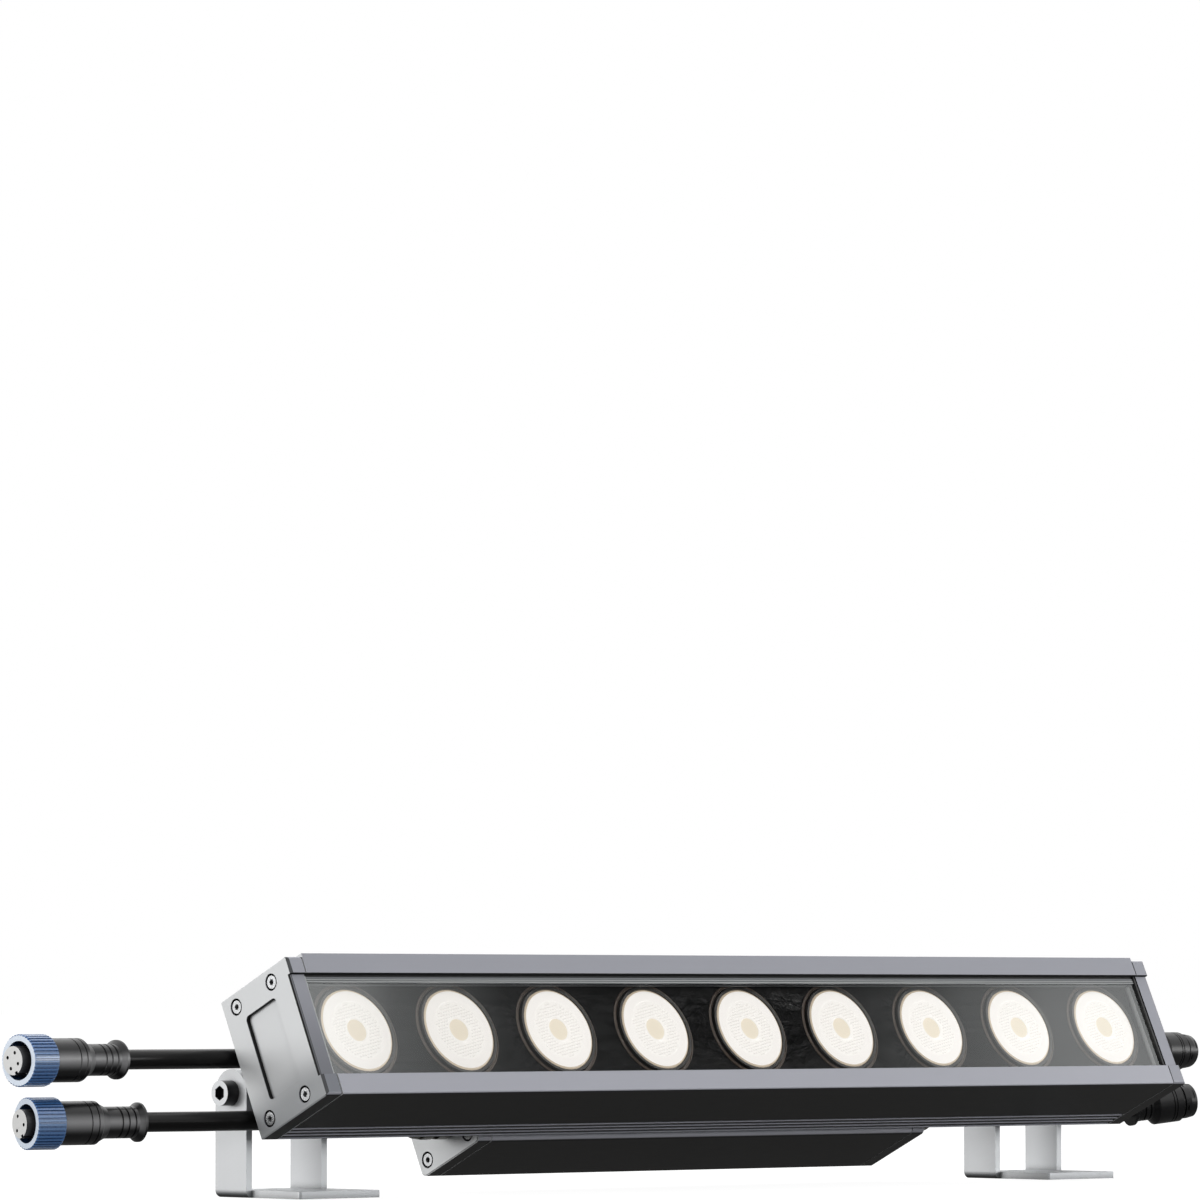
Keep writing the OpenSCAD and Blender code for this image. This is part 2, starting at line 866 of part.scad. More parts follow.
module pivot_nuts() {
  color("#2a2b2d")
    for (right = [false, true])
      pivot_axis(right)
        translate([0, 0, welded_outer + flat_washer_t])
          difference() {
            intersection() {
              hex_prism(nut_across_flats, nut_t);
              cylinder(h = nut_t, d1 = nut_across_flats + nut_t, d2 = nut_across_flats + washer_t);
            }
            translate([0, 0, -over]) cylinder(h = nut_t + 2 * over, d = pivot_bolt_d + fit_gap);
          }
}

// Middle of the free width between the two arms, from the hole line
block_mid = (arm_outer + bracket_t + welded_outer - bracket_t) / 2;

// Lug that stands on the housing's back and turns between the two arms
module pivot_block(right) {
  knuckle_y = pivot_back;
  top_y = knuckle_y - knuckle_r * sin(web_top_angle);
  top_z = mid_height + knuckle_r * cos(web_top_angle);
  low_y = knuckle_y - knuckle_r * sin(web_low_angle);
  low_z = mid_height - knuckle_r * cos(web_low_angle);
  color("#3a3b3e")
    lamp_frame()
      translate([bracket_x(right) + block_mid, 0, 0])
        difference() {
          along_lamp(-block_w / 2, block_w) {
            translate([0, flange_low]) square([flange_t, flange_high - flange_low]);
            polygon([
              [flange_t - fit_gap, web_low], [low_y, low_z],
              [knuckle_y, mid_height], [top_y, top_z], [flange_t - fit_gap, web_high],
            ]);
            translate([knuckle_y, mid_height]) circle(knuckle_r, $fn = 64);
          }
          translate([-block_w / 2 - over, knuckle_y, mid_height])
            rotate([0, 90, 0])
              cylinder(h = block_w + 2 * over, d = pivot_bolt_d + 2 * pivot_run_gap);
          for (x = [-block_screw_x, block_screw_x])
            translate([x, -over, slot_z[0]])
              rotate([-90, 0, 0])
                cylinder(h = flange_t + 2 * over, d = m5_d + 2 * m5_hole_gap);
        }
}

// M5 screw that points at the housing, its head seated at the given height behind it
module slot_screw(x, seat_y, z) {
  translate([x, seat_y, z])
    rotate([90, 0, 0])
      socket_screw(
        m5_d, m5_head_d, m5_head_h, seat_y + slot_lip + slot_nut_t, m5_hex, m5_hex_d
      );
}

module pivot_block_screws() {
  color("#2a2b2d")
    lamp_frame()
      for (right = [false, true])
        for (x = [-block_screw_x, block_screw_x])
          slot_screw(bracket_x(right) + block_mid + x, flange_t, slot_z[0]);
}

module slot_nut(x, z) {
  translate([x, -slot_lip, z])
    difference() {
      translate([-slot_nut_len / 2, -slot_nut_t, -slot_nut_w / 2])
        cube([slot_nut_len, slot_nut_t, slot_nut_w]);
      translate([0, over, 0])
        rotate([90, 0, 0])
          cylinder(h = slot_nut_t + 2 * over, d = m5_d + fit_gap);
    }
}

module slot_nuts() {
  color("#c8cacc")
    lamp_frame() {
      for (right = [false, true])
        for (x = [-block_screw_x, block_screw_x])
          slot_nut(bracket_x(right) + block_mid + x, slot_z[0]);
      for (x = [-spacer_x, spacer_x])
        for (z = slot_z) slot_nut(x, z);
    }
}

// Driver box

module driver_box(inset, r) {
  translate([driver_front + inset, driver_low + inset])
    rounded_box(driver_depth - 2 * inset, driver_height - 2 * inset, r, r);
}

module driver_outline() {
  back_wall = driver_back_wall - driver_wall;
  difference() {
    driver_box(0, driver_corner_r);
    difference() {
      translate([driver_front + driver_wall, driver_low + driver_wall])
        square([driver_depth - 2 * driver_wall - back_wall, driver_height - 2 * driver_wall]);
      for (y = driver_screw_y)
        for (z = driver_screw_z)
          translate([y, z]) circle(driver_boss_r);
    }
    for (y = driver_screw_y)
      for (z = driver_screw_z)
        translate([y, z]) circle(screw_core_r);
    for (k = [0:driver_groove_count - 1])
      translate([
        driver_back - driver_groove_d,
        mid_height + (k - (driver_groove_count - 1) / 2) * driver_groove_pitch
          - driver_groove_w / 2
      ])
        square([driver_groove_d + over, driver_groove_w]);
  }
}

module driver_case() {
  color("#232426")
    lamp_frame()
      difference() {
        along_lamp(-driver_case_len / 2, driver_case_len) driver_outline();
        translate([0, driver_front - over, mid_height])
          rotate([-90, 0, 0])
            cylinder(h = driver_wall + 2 * over, d = grommet_neck_d + fit_gap);
        for (x = [-spacer_x, spacer_x])
          for (z = slot_z)
            translate([x, driver_front - over, z])
              rotate([-90, 0, 0])
                cylinder(h = driver_wall + 2 * over, d = m5_d + 2 * m5_hole_gap);
      }
}

module driver_cap_left() {
  difference() {
    intersection() {
      along_lamp(-driver_half, driver_cap_t) driver_box(0, driver_corner_r);
      union() {
        along_lamp(-driver_half, driver_cap_t) driver_box(driver_edge_bevel, driver_corner_r);
        along_lamp(-driver_half + driver_edge_bevel, driver_cap_t) driver_box(0, driver_corner_r);
      }
    }
    translate([-driver_half - over, 0, 0]) {
      at_driver_screws() cylinder(h = driver_cap_t + 2 * over, d = cap_screw_d + cap_hole_gap);
      at_driver_screws() cylinder(h = counterbore_deep + over, d = counterbore_d);
    }
    for (z = gland_z)
      translate([-driver_half - over, gland_back, z])
        rotate([0, 90, 0])
          cylinder(h = driver_cap_t + 2 * over, d = gland_shank_d + 2 * fit_gap);
  }
}

module driver_cap(right) {
  color("#b9bbbe") lamp_frame() at_end(right) driver_cap_left();
}

module driver_gaskets() {
  inner = driver_screw_inset + driver_boss_r + driver_wall;
  frame_w = driver_wall + gasket_inset;
  color("#17171a")
    lamp_frame()
      for (right = [false, true])
        at_end(right)
          along_lamp(-driver_half + driver_cap_t, driver_gasket_t)
            difference() {
              driver_box(gasket_inset, driver_corner_r);
              translate([driver_front + inner, driver_low + frame_w])
                square([driver_depth - 2 * inner, driver_height - 2 * frame_w]);
              translate([driver_front + frame_w, driver_low + inner])
                square([driver_depth - 2 * frame_w, driver_height - 2 * inner]);
              for (y = driver_screw_y)
                for (z = driver_screw_z)
                  translate([y, z]) circle(d = cap_screw_d + cap_hole_gap);
            }
}

module driver_cap_screws() {
  color("#c8cacc")
    lamp_frame()
      for (right = [false, true])
        at_end(right)
          translate([-driver_half + counterbore_deep, 0, 0])
            at_driver_screws()
              socket_screw(
                2 * screw_core_r, cap_screw_head_d, cap_screw_head_h,
                cap_screw_len, cap_screw_hex, cap_screw_hex_d
              );
}

// Potted converter inside the driver box
module driver_module() {
  y0 = driver_front + driver_wall + module_gap;
  y1 = driver_back - driver_back_wall - module_gap;
  z0 = driver_low + driver_wall + module_gap;
  z1 = driver_high - driver_wall - module_gap;
  color("#2b3a34")
    lamp_frame()
      translate([-module_half, 0, 0])
        difference() {
          translate([0, y0, z0]) cube([2 * module_half, y1 - y0, z1 - z0]);
          for (y = driver_screw_y)
            for (z = driver_screw_z)
              translate([-over, y, z])
                rotate([0, 90, 0])
                  cylinder(h = 2 * module_half + 2 * over, r = driver_boss_r + module_gap);
          translate([module_half, y0 - over, mid_height])
            rotate([-90, 0, 0])
              cylinder(h = grommet_lip + lens_seat_gap + over, d = grommet_d + lens_seat_gap);
        }
}

module driver_spacers() {
  color("#3a3b3e")
    lamp_frame()
      for (x = [-spacer_x, spacer_x])
        difference() {
          translate([x - spacer_w / 2, driver_gap, mid_height - spacer_h / 2])
            rotate([90, 0, 0])
              linear_extrude(driver_gap)
                rounded_box(spacer_w, spacer_h, spacer_r, spacer_r);
          for (z = slot_z)
            translate([x, -over, z])
              rotate([-90, 0, 0])
                cylinder(h = driver_gap + 2 * over, d = m5_d + 2 * m5_hole_gap);
        }
}

module driver_mount_screws() {
  color("#2a2b2d")
    lamp_frame()
      for (x = [-spacer_x, spacer_x])
        for (z = slot_z) slot_screw(x, driver_front + driver_wall, z);
}

// Seal that carries the lead through the housing's back and the driver's front
module lead_grommet() {
  y0 = -rear_wall - grommet_lip;
  y1 = driver_front + driver_wall + grommet_lip;
  neck_r = grommet_neck_d / 2;
  lip_r = grommet_d / 2;
  bore_r = lead_d / 2;
  color("#17171a")
    lamp_frame()
      translate([0, y0, mid_height])
        rotate([-90, 0, 0])
          rotate_extrude()
            polygon([
              [bore_r, 0], [lip_r, 0], [lip_r, grommet_lip], [neck_r, grommet_lip],
              [neck_r, grommet_lip + rear_wall], [lip_r, grommet_lip + rear_wall],
              [lip_r, grommet_lip + rear_wall + driver_gap],
              [neck_r, grommet_lip + rear_wall + driver_gap],
              [neck_r, y1 - y0 - grommet_lip], [lip_r, y1 - y0 - grommet_lip],
              [lip_r, y1 - y0], [bore_r, y1 - y0],
            ]);
}

module led_lead() {
  back_y = driver_front + driver_wall + grommet_lip + lens_seat_gap;
  color("#4d1f1c")
    lamp_frame()
      translate([0, -spreader_face, mid_height])
        rotate([-90, 0, 0])
          cylinder(h = spreader_face + back_y, d = lead_d);
}

// Cable glands

gland_z = [mid_height - gland_pitch / 2, mid_height + gland_pitch / 2];

module at_glands() {
  for (right = [false, true])
    at_end(right)
      for (z = gland_z)
        translate([-driver_half, gland_back, z])
          rotate([0, -90, 0])
            children();
}

module gland_bodies() {
  bore = cable_d + 2 * gland_bore_gap;
  neck_end = gland_len - gland_nut_len + gland_thread_lap;
  color("#c3bfae")
    lamp_frame()
      at_glands()
        difference() {
          union() {
            translate([0, 0, -driver_cap_t]) cylinder(h = driver_cap_t, d = gland_shank_d);
            cylinder(h = gland_collar_len, d = gland_collar_d);
            translate([0, 0, gland_collar_len])
              intersection() {
                hex_prism(gland_hex, gland_hex_len);
                cylinder(h = gland_hex_len, d = gland_nut_d);
              }
            cylinder(h = neck_end, d = gland_neck_d);
          }
          translate([0, 0, -driver_cap_t + gland_blind - fit_gap])
            cylinder(h = neck_end + driver_cap_t, d = bore);
        }
}

module gland_nuts() {
  bore = cable_d + 2 * gland_bore_gap;
  start = gland_len - gland_nut_len;
  straight = gland_nut_len - gland_dome_len;
  color("#c3bfae")
    lamp_frame()
      at_glands()
        translate([0, 0, start])
          difference() {
            union() {
              intersection() {
                hex_prism(gland_nut_hex, straight);
                cylinder(h = straight, d = gland_nut_d);
              }
              translate([0, 0, straight])
                rotate_extrude()
                  polygon([
                    [0, 0], [gland_nut_hex / 2, 0],
                    for (a = [dome_step:dome_step:90 - dome_step])
                      [
                        gland_dome_d / 2 + (gland_nut_hex - gland_dome_d) / 2 * cos(a),
                        gland_dome_len * sin(a)
                      ],
                    [gland_dome_d / 2, gland_dome_len], [0, gland_dome_len],
                  ]);
            }
            translate([0, 0, -over])
              cylinder(h = gland_thread_lap + lens_seat_gap + over, d = gland_neck_d + fit_gap);
            cylinder(h = gland_nut_len + over, d = bore);
          }
}

// Cable tails

upright = [0, 0, 1];

function unit(v) = v / norm(v);

// Direction of a route at point i
function route_dir(path, i) =
  i == 0 ? unit(path[1] - path[0])
  : i == len(path) - 1 ? unit(path[i] - path[i - 1])
  : unit(unit(path[i] - path[i - 1]) + unit(path[i + 1] - path[i]));

function ring_points(path, i, r) =
  let (
    t = route_dir(path, i),
    side = unit(cross(t, upright)),
    up = cross(side, t)
  )
  [
    for (k = [0:cable_sides - 1])
      let (a = 360 * k / cable_sides)
        path[i] + r * (cos(a) * side + sin(a) * up)
  ];

module tube(path, d) {
  rings = len(path);
  n = cable_sides;
  points = [for (i = [0:rings - 1]) each ring_points(path, i, d / 2)];
  sides = [
    for (i = [0:rings - 2])
      for (k = [0:n - 1])
        let (a = i * n + k, b = i * n + (k + 1) % n)
          each [[a, b, a + n], [b, b + n, a + n]]
  ];
  start = [[for (k = [0:n - 1]) n - 1 - k]];
  end = [[for (k = [0:n - 1]) (rings - 1) * n + k]];
  polyhedron(points = points, faces = concat(start, sides, end), convexity = 4);
}

module cable(path) {
  color("#141312") lamp_frame() tube(path, cable_d);
}

// Connectors, drawn along +Z from their front face to the cable

function last(path) = path[len(path) - 1];
function end_dir(path) = unit(last(path) - path[len(path) - 2]);

// Puts a connector on the end of a cable, in line with it, its rear face at the cable's end
module on_cable(path, reach) {
  out = end_dir(path);
  translate(last(path) + reach * out)
    rotate([0, acos(-out[2]), atan2(-out[1], -out[0])])
      children();
}

// Points of one groove in a turned outline, from its start at the given height
function groove_points(at, r, w, d) =
  [[r, at], [r - d, at + w / 4], [r - d, at + 3 * w / 4], [r, at + w]];

// Moulded rear half of a socket: barrel, shoulder, ribbed neck and flared rim
module moulding() {
  front = coupling_len + coupling_run_gap;
  r = connector_d / 2;
  n = neck_d / 2;
  rotate_extrude($fn = 64)
    polygon(concat(
      [[0, front], [r - body_edge, front], [r, front + body_edge]],
      [for (g = body_grooves) each groove_points(g, r, body_groove_w, body_groove_d)],
      [[r, rear_shoulder - body_edge], [r - body_edge, rear_shoulder], [n, neck_start]],
      [for (g = neck_grooves) each groove_points(g, n, neck_groove_w, neck_groove_d)],
      [[n, flare_start], [flange_d / 2, flare_end], [flange_d / 2, socket_len], [0, socket_len]]
    ));
}

module socket(path) {
  color("#19191b")
    lamp_frame()
      on_cable(path, socket_len) {
        moulding();
        translate([0, 0, coupling_len - coupling_wall - coupling_run_gap - trap_t])
          cylinder(h = trap_t, d = trap_d);
        translate([0, 0, coupling_len - coupling_wall - coupling_run_gap])
          cylinder(h = coupling_wall + 2 * coupling_run_gap + fit_gap, d = neck_run_d);
      }
}

module insert(path, contacts) {
  back = coupling_len - coupling_wall - coupling_run_gap - trap_t;
  r = insert_d * contact_circle_share;
  color("#d8d8d6")
    lamp_frame()
      on_cable(path, socket_len)
        translate([0, 0, -insert_proud])
          difference() {
            cylinder(h = back + insert_proud, d = insert_d);
            for (k = [0:contacts - 1])
              rotate([0, 0, 360 * (k + 1 / 2) / contacts])
                translate([r, 0, -over])
                  cylinder(h = contact_depth + over, d = contact_d);
            translate([insert_d / 2 - key_d, -key_w / 2, -over])
              cube([key_d + over, key_w, contact_depth + over]);
          }
}

module coupling(path) {
  top_r = coupling_d / 2;
  root_r = top_r - coupling_rib_h;
  step = 360 / coupling_ribs;
  outline = [
    for (k = [0:coupling_ribs - 1])
      each [
        root_r * [cos(step * (k - rib_share)), sin(step * (k - rib_share))],
        top_r * [cos(step * (k - rib_top_share)), sin(step * (k - rib_top_share))],
        top_r * [cos(step * (k + rib_top_share)), sin(step * (k + rib_top_share))],
        root_r * [cos(step * (k + rib_share)), sin(step * (k + rib_share))],
      ]
  ];
  color("#2456a0")
    lamp_frame()
      on_cable(path, socket_len)
        difference() {
          intersection() {
            linear_extrude(coupling_len) polygon(outline);
            rotate_extrude($fn = 64)
              polygon([
                [0, 0], [coupling_face_d / 2, 0], [top_r + fit_gap, coupling_face_len],
                [top_r + fit_gap, coupling_len - coupling_face_len],
                [coupling_face_d / 2, coupling_len], [0, coupling_len],
              ]);
          }
          translate([0, 0, -over])
            cylinder(h = coupling_len - coupling_wall + over, d = coupling_bore_d, $fn = 64);
          cylinder(h = coupling_len + over, d = neck_run_d + 2 * coupling_run_gap, $fn = 64);
        }
}

module plug(path, contacts) {
  barrel = plug_sleeve_len + plug_gap_w;
  shoulder = barrel + plug_barrel_len;
  rim = shoulder + plug_neck_len;
  end = rim + plug_flange_t;
  r = connector_d / 2;
  n = neck_d / 2;
  s = plug_sleeve_d / 2;
  tip = plug_tip_d / 2;
  third = plug_neck_len / 3;
  contact_r = insert_d * contact_circle_share;
  color("#19191b")
    lamp_frame()
      on_cable(path, end)
        difference() {
          union() {
            rotate_extrude($fn = 64)
              polygon(concat(
                [
                  [0, 0], [tip - body_edge, 0], [tip, body_edge],
                  [s, plug_sleeve_len * plug_taper_share], [s, plug_sleeve_len],
                  [s - plug_gap_d, plug_sleeve_len], [s - plug_gap_d, barrel],
                  [r - body_edge, barrel], [r, barrel + body_edge],
                ],
                [
                  for (g = plug_groove_back)
                    each groove_points(barrel + g, r, plug_groove_w, body_groove_d)
                ],
                [[r, shoulder - body_edge], [r - body_edge, shoulder], [n, shoulder + third / 2]],
                [
                  for (k = [1, 2])
                    each groove_points(
                      shoulder + k * third * plug_ring_share, n, neck_groove_w, neck_groove_d
                    )
                ],
                [[n, rim - third / 2], [flange_d / 2, rim], [flange_d / 2, end], [0, end]]
              ));
          }
          difference() {
            translate([0, 0, -over]) cylinder(h = plug_bore_len + over, d = plug_bore_d);
            for (k = [0:contacts - 1])
              rotate([0, 0, 360 * (k + 1 / 2) / contacts])
                translate([contact_r, 0, plug_bore_len - pin_len])
                  cylinder(h = pin_len + over, d = pin_d);
          }
          for (k = [0:plug_mark_count - 1])
            rotate([0, 0, 360 * k / plug_mark_count]) {
              translate([s - plug_mark_d, -plug_mark_len / 2, plug_mark_at])
                cube([plug_mark_d + over, plug_mark_len, plug_mark_w]);
              rotate([0, 0, 180 / plug_mark_count])
                translate([s - plug_mark_d, -plug_notch_len / 2, plug_sleeve_len - 2 * plug_mark_w])
                  cube([plug_mark_d + over, plug_notch_len, plug_mark_w]);
            }
        }
}

bracket(false);  // left_bracket
bracket(true);  // right_bracket
welded_arm(false);  // left_welded_arm
welded_arm(true);  // right_welded_arm
pivot_bolt(false);  // left_pivot_bolt
pivot_bolt(true);  // right_pivot_bolt
pivot_nuts();
pivot_washers();
housing();
end_cap(false);  // left_end_cap
end_cap(true);  // right_end_cap
end_gaskets();
end_cap_screws();
front_glass();
glass_gasket();
end_bar(false);  // left_end_bar
end_bar(true);  // right_end_bar
lens_mask();
led_board();
led_emitters();
board_screws();
lens_holders();
lens(0);  // lens_1
lens(1);  // lens_2
lens(2);  // lens_3
lens(3);  // lens_4
lens(4);  // lens_5
lens(5);  // lens_6
lens(6);  // lens_7
lens(7);  // lens_8
lens(8);  // lens_9
pivot_block(false);  // left_pivot_block
pivot_block(true);  // right_pivot_block
pivot_block_screws();
slot_nuts();
driver_case();
driver_cap(false);  // driver_left_cap
driver_cap(true);  // driver_right_cap
driver_gaskets();
driver_cap_screws();
driver_module();
driver_spacers();
driver_mount_screws();
lead_grommet();
led_lead();
gland_bodies();
gland_nuts();
cable(left_upper_route);  // left_upper_cable
cable(left_lower_route);  // left_lower_cable
cable(right_upper_route);  // right_upper_cable
cable(right_lower_route);  // right_lower_cable
socket(left_upper_route);  // left_upper_socket
socket(left_lower_route);  // left_lower_socket
insert(left_upper_route, upper_contacts);  // left_upper_insert
insert(left_lower_route, lower_contacts);  // left_lower_insert
coupling(left_upper_route);  // left_upper_coupling
coupling(left_lower_route);  // left_lower_coupling
plug(right_upper_route, upper_contacts);  // right_upper_plug
plug(right_lower_route, lower_contacts);  // right_lower_plug
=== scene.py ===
# Dresses the linear architectural light: cable tails, lens faces, the plate and the seal
# round them and the finish of every surface, with light and shade painted into some finishes,
# in the part's own frame, with a studio floor, lights and the camera.
import json
import math

import bmesh
import bpy
from mathutils import Matrix, Vector


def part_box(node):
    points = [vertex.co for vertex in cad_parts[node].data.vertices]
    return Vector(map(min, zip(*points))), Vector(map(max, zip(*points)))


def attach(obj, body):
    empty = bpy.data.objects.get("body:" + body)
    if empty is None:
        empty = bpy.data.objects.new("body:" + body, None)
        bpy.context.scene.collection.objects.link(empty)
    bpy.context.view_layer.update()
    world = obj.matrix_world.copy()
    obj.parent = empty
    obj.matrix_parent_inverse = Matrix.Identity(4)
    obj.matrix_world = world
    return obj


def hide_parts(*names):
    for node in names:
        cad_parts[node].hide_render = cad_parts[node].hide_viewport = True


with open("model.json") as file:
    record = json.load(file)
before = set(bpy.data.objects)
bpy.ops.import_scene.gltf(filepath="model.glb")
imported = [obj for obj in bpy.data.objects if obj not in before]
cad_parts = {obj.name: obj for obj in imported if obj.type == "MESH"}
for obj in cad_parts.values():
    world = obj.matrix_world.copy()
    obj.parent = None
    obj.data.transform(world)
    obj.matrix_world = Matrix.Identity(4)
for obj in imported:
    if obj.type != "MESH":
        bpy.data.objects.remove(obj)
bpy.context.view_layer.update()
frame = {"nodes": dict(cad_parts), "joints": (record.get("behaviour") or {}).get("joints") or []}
NODES = frame["nodes"]

MM = 0.001
TILT = next(j for j in frame["joints"] if j["name"] == "tilt")
REST_TILT = math.radians(25)
PIVOT_BACK = 28 * MM
PIVOT_HEIGHT = 40 * MM

# The lamp's own axes: along the lamp, behind its back face, above its lower edge
LAMP = (
    Matrix.Translation(Vector(TILT["pos_m"]))
    @ Matrix.Rotation(-REST_TILT, 4, "X")
    @ Matrix.Translation((0, -PIVOT_BACK, -PIVOT_HEIGHT))
)


def on_lamp(x, y, z):
    """A point in the lamp's own axes, given in millimetres, as a point of the part in metres."""
    return LAMP @ Vector((x * MM, y * MM, z * MM))


# Camera

VIEWPOINT = (-2.7432, -2.8394, 0.107)
LOOK_UP = math.radians(3.25)
LOOK_RIGHT = math.radians(43.30)
LENS_LENGTH, SENSOR_WIDTH = 209.64, 36
NEAREST, FURTHEST = 0.1, 100


def make_camera():
    """The photograph's viewpoint: a long lens, from the left front and a little above the floor."""
    data = bpy.data.cameras.new("camera")
    data.sensor_width = SENSOR_WIDTH
    data.lens = LENS_LENGTH
    data.clip_start = NEAREST
    data.clip_end = FURTHEST
    camera = bpy.data.objects.new("camera", data)
    camera.location = VIEWPOINT
    camera.rotation_euler = (math.pi / 2 + LOOK_UP, 0, -LOOK_RIGHT)
    bpy.context.scene.collection.objects.link(camera)
    bpy.context.scene.camera = camera


make_camera()


# Cable tails

CABLE_D = 10.5 * MM
CABLE_ROUNDNESS, CABLE_SMOOTHNESS = 10, 6
ROUTES = {
    "left_lower_cable": [
        (-184, 24, 22), (-196, 24, 22), (-206, 24, 22), (-212, 23.4, 21.7),
        (-219, 21.2, 20.7), (-226, 17.8, 19.2), (-233, 14, 17.6), (-240, 10.7, 16.2),
        (-247, 8.6, 15.3), (-253, 8, 15), (-280, 8, 15), (-310, 8, 15), (-330, 8.1, 15),
        (-348, 8.9, 15.4), (-361, 10.1, 15.9), (-373, 11.6, 16.6), (-386, 13.3, 17.4),
        (-401, 15.3, 18.3),
    ],
    "left_upper_cable": [
        (-184, 24, 58), (-196, 24, 58), (-206, 24, 58), (-212, 23.4, 57.7),
        (-219, 21.2, 56.7), (-226, 17.8, 55.2), (-233, 14, 53.6), (-240, 10.7, 52.2),
        (-247, 8.6, 51.3), (-253, 8, 51), (-280, 8, 51), (-310, 8, 51), (-340, 8, 51),
        (-365, 7.8, 50.9), (-388, 7.3, 50.7), (-411, 6.5, 50.3),
    ],
    "right_lower_cable": [
        (184, 24, 22), (196, 24, 22), (206, 24, 22), (212, 23.4, 21.7), (219, 21.2, 20.7),
        (226, 17.8, 19.2), (233, 14, 17.6), (240, 10.7, 16.2), (247, 8.6, 15.3),
        (253, 8, 15), (275, 8, 14.8), (297, 8.2, 14), (312, 8.9, 13.2), (321, 9.2, 12.8),
        (329, 9.1, 12.5), (337, 8.4, 12.4), (344.5, 6.6, 12.2), (352, 3.8, 11.9),
    ],
    "right_upper_cable": [
        (184, 24, 58), (196, 24, 58), (206, 24, 58), (212, 23.4, 57.7), (219, 21.2, 56.7),
        (226, 17.8, 55.2), (233, 14, 53.6), (240, 10.7, 52.2), (247, 8.6, 51.3),
        (253, 8, 51), (275, 8, 51), (305, 8, 51), (335, 8, 51), (360, 8, 51), (385, 8, 51),
    ],
}


def make_cable(name):
    """A smooth round tube along the route, which goes from the gland to the connector.

    The knots carry the tube's radius, so that the curve's own bounds are those of the tube.
    """
    points = [on_lamp(*place) for place in ROUTES[name]]
    data = bpy.data.curves.new(name + "_jacket", "CURVE")
    data.dimensions = "3D"
    data.bevel_depth = 1
    data.bevel_resolution = CABLE_ROUNDNESS
    data.resolution_u = CABLE_SMOOTHNESS
    data.use_fill_caps = True
    spline = data.splines.new("BEZIER")
    spline.bezier_points.add(len(points) - 1)
    for i, (knot, point) in enumerate(zip(spline.bezier_points, points)):
        before = points[max(i - 1, 0)]
        after = points[min(i + 1, len(points) - 1)]
        along = (after - before).normalized()
        knot.handle_left_type = knot.handle_right_type = "FREE"
        knot.co = point
        knot.radius = CABLE_D / 2
        knot.handle_left = point - along * (point - before).length / 3
        knot.handle_right = point + along * (after - point).length / 3
    cable = bpy.data.objects.new(name + "_jacket", data)
    bpy.context.scene.collection.objects.link(cable)
    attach(cable, "lamp")
    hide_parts(name)
    return cable


CABLES = [make_cable(route) for route in ROUTES]


# Material tools


def add(tree, kind, values=None, **settings):
    """One node of a material, its inputs given as numbers or as another node's output."""
    made = tree.nodes.new(kind)
    for key, value in settings.items():
        setattr(made, key, value)
    for key, value in (values or {}).items():
        socket = made.inputs[key]
        if isinstance(value, bpy.types.NodeSocket):
            tree.links.new(value, socket)
        else:
            socket.default_value = value
    return made


def maths(tree, operation, a, b=0.0):
    """A sum, product or other operation on numbers or outputs."""
    made = add(tree, "ShaderNodeMath", operation=operation)
    for socket, value in zip(made.inputs, (a, b)):
        if isinstance(value, bpy.types.NodeSocket):
            tree.links.new(value, socket)
        else:
            socket.default_value = value
    return made.outputs[0]


def ramp(tree, factor, stops):
    """A smooth curve through pairs of place and value, as a grey."""
    made = add(tree, "ShaderNodeValToRGB", {"Fac": factor})
    made.color_ramp.interpolation = "EASE"
    marks = made.color_ramp.elements
    while len(marks) < len(stops):
        marks.new(0.5)
    for mark, (place, value) in zip(marks, stops):
        mark.position = place
        mark.color = (value, value, value, 1)
    return made.outputs["Color"]


def step(tree, value, low, high):
    """Rises smoothly from 0 at low to 1 at high, or falls where high is the lower number."""
    made = add(tree, "ShaderNodeMapRange", {
        "Value": value, "From Min": low, "From Max": high,
    }, interpolation_type="SMOOTHSTEP")
    return made.outputs["Result"]


def blend(tree, factor, a, b):
    """Colour a at factor 0 and b at factor 1."""
    made = add(tree, "ShaderNodeMix", data_type="RGBA")
    for name, value in (("Factor_Float", factor), ("A_Color", a), ("B_Color", b)):
        socket = next(s for s in made.inputs if s.identifier == name)
        if isinstance(value, bpy.types.NodeSocket):
            tree.links.new(value, socket)
        else:
            socket.default_value = value if name == "Factor_Float" else (*value, 1)
    return next(s for s in made.outputs if s.identifier == "Result_Color")


def scaled(colour, by):
    """The colour, lighter or darker."""
    return tuple(min(c * by, 1) for c in colour)


def start(name):
    """An empty material with its output, and places and directions in the lamp's own axes."""
    material = bpy.data.materials.new(name)
    material.use_nodes = True
    tree = material.node_tree
    tree.nodes.clear()
    output = add(tree, "ShaderNodeOutputMaterial")
    given = add(tree, "ShaderNodeTexCoord")
    along = add(tree, "ShaderNodeMapping", {
        "Vector": given.outputs["Object"], "Rotation": (REST_TILT, 0, 0),
        "Location": LAMP.inverted().to_translation(),
    })
    facing = add(tree, "ShaderNodeMapping", {
        "Vector": given.outputs["Normal"], "Rotation": (REST_TILT, 0, 0),
    })
    return material, tree, output, along.outputs["Vector"], facing.outputs["Vector"]


def part_of(tree, vector, axis):
    """One axis of a place or a direction."""
    return add(tree, "ShaderNodeSeparateXYZ", {"Vector": vector}).outputs[axis]


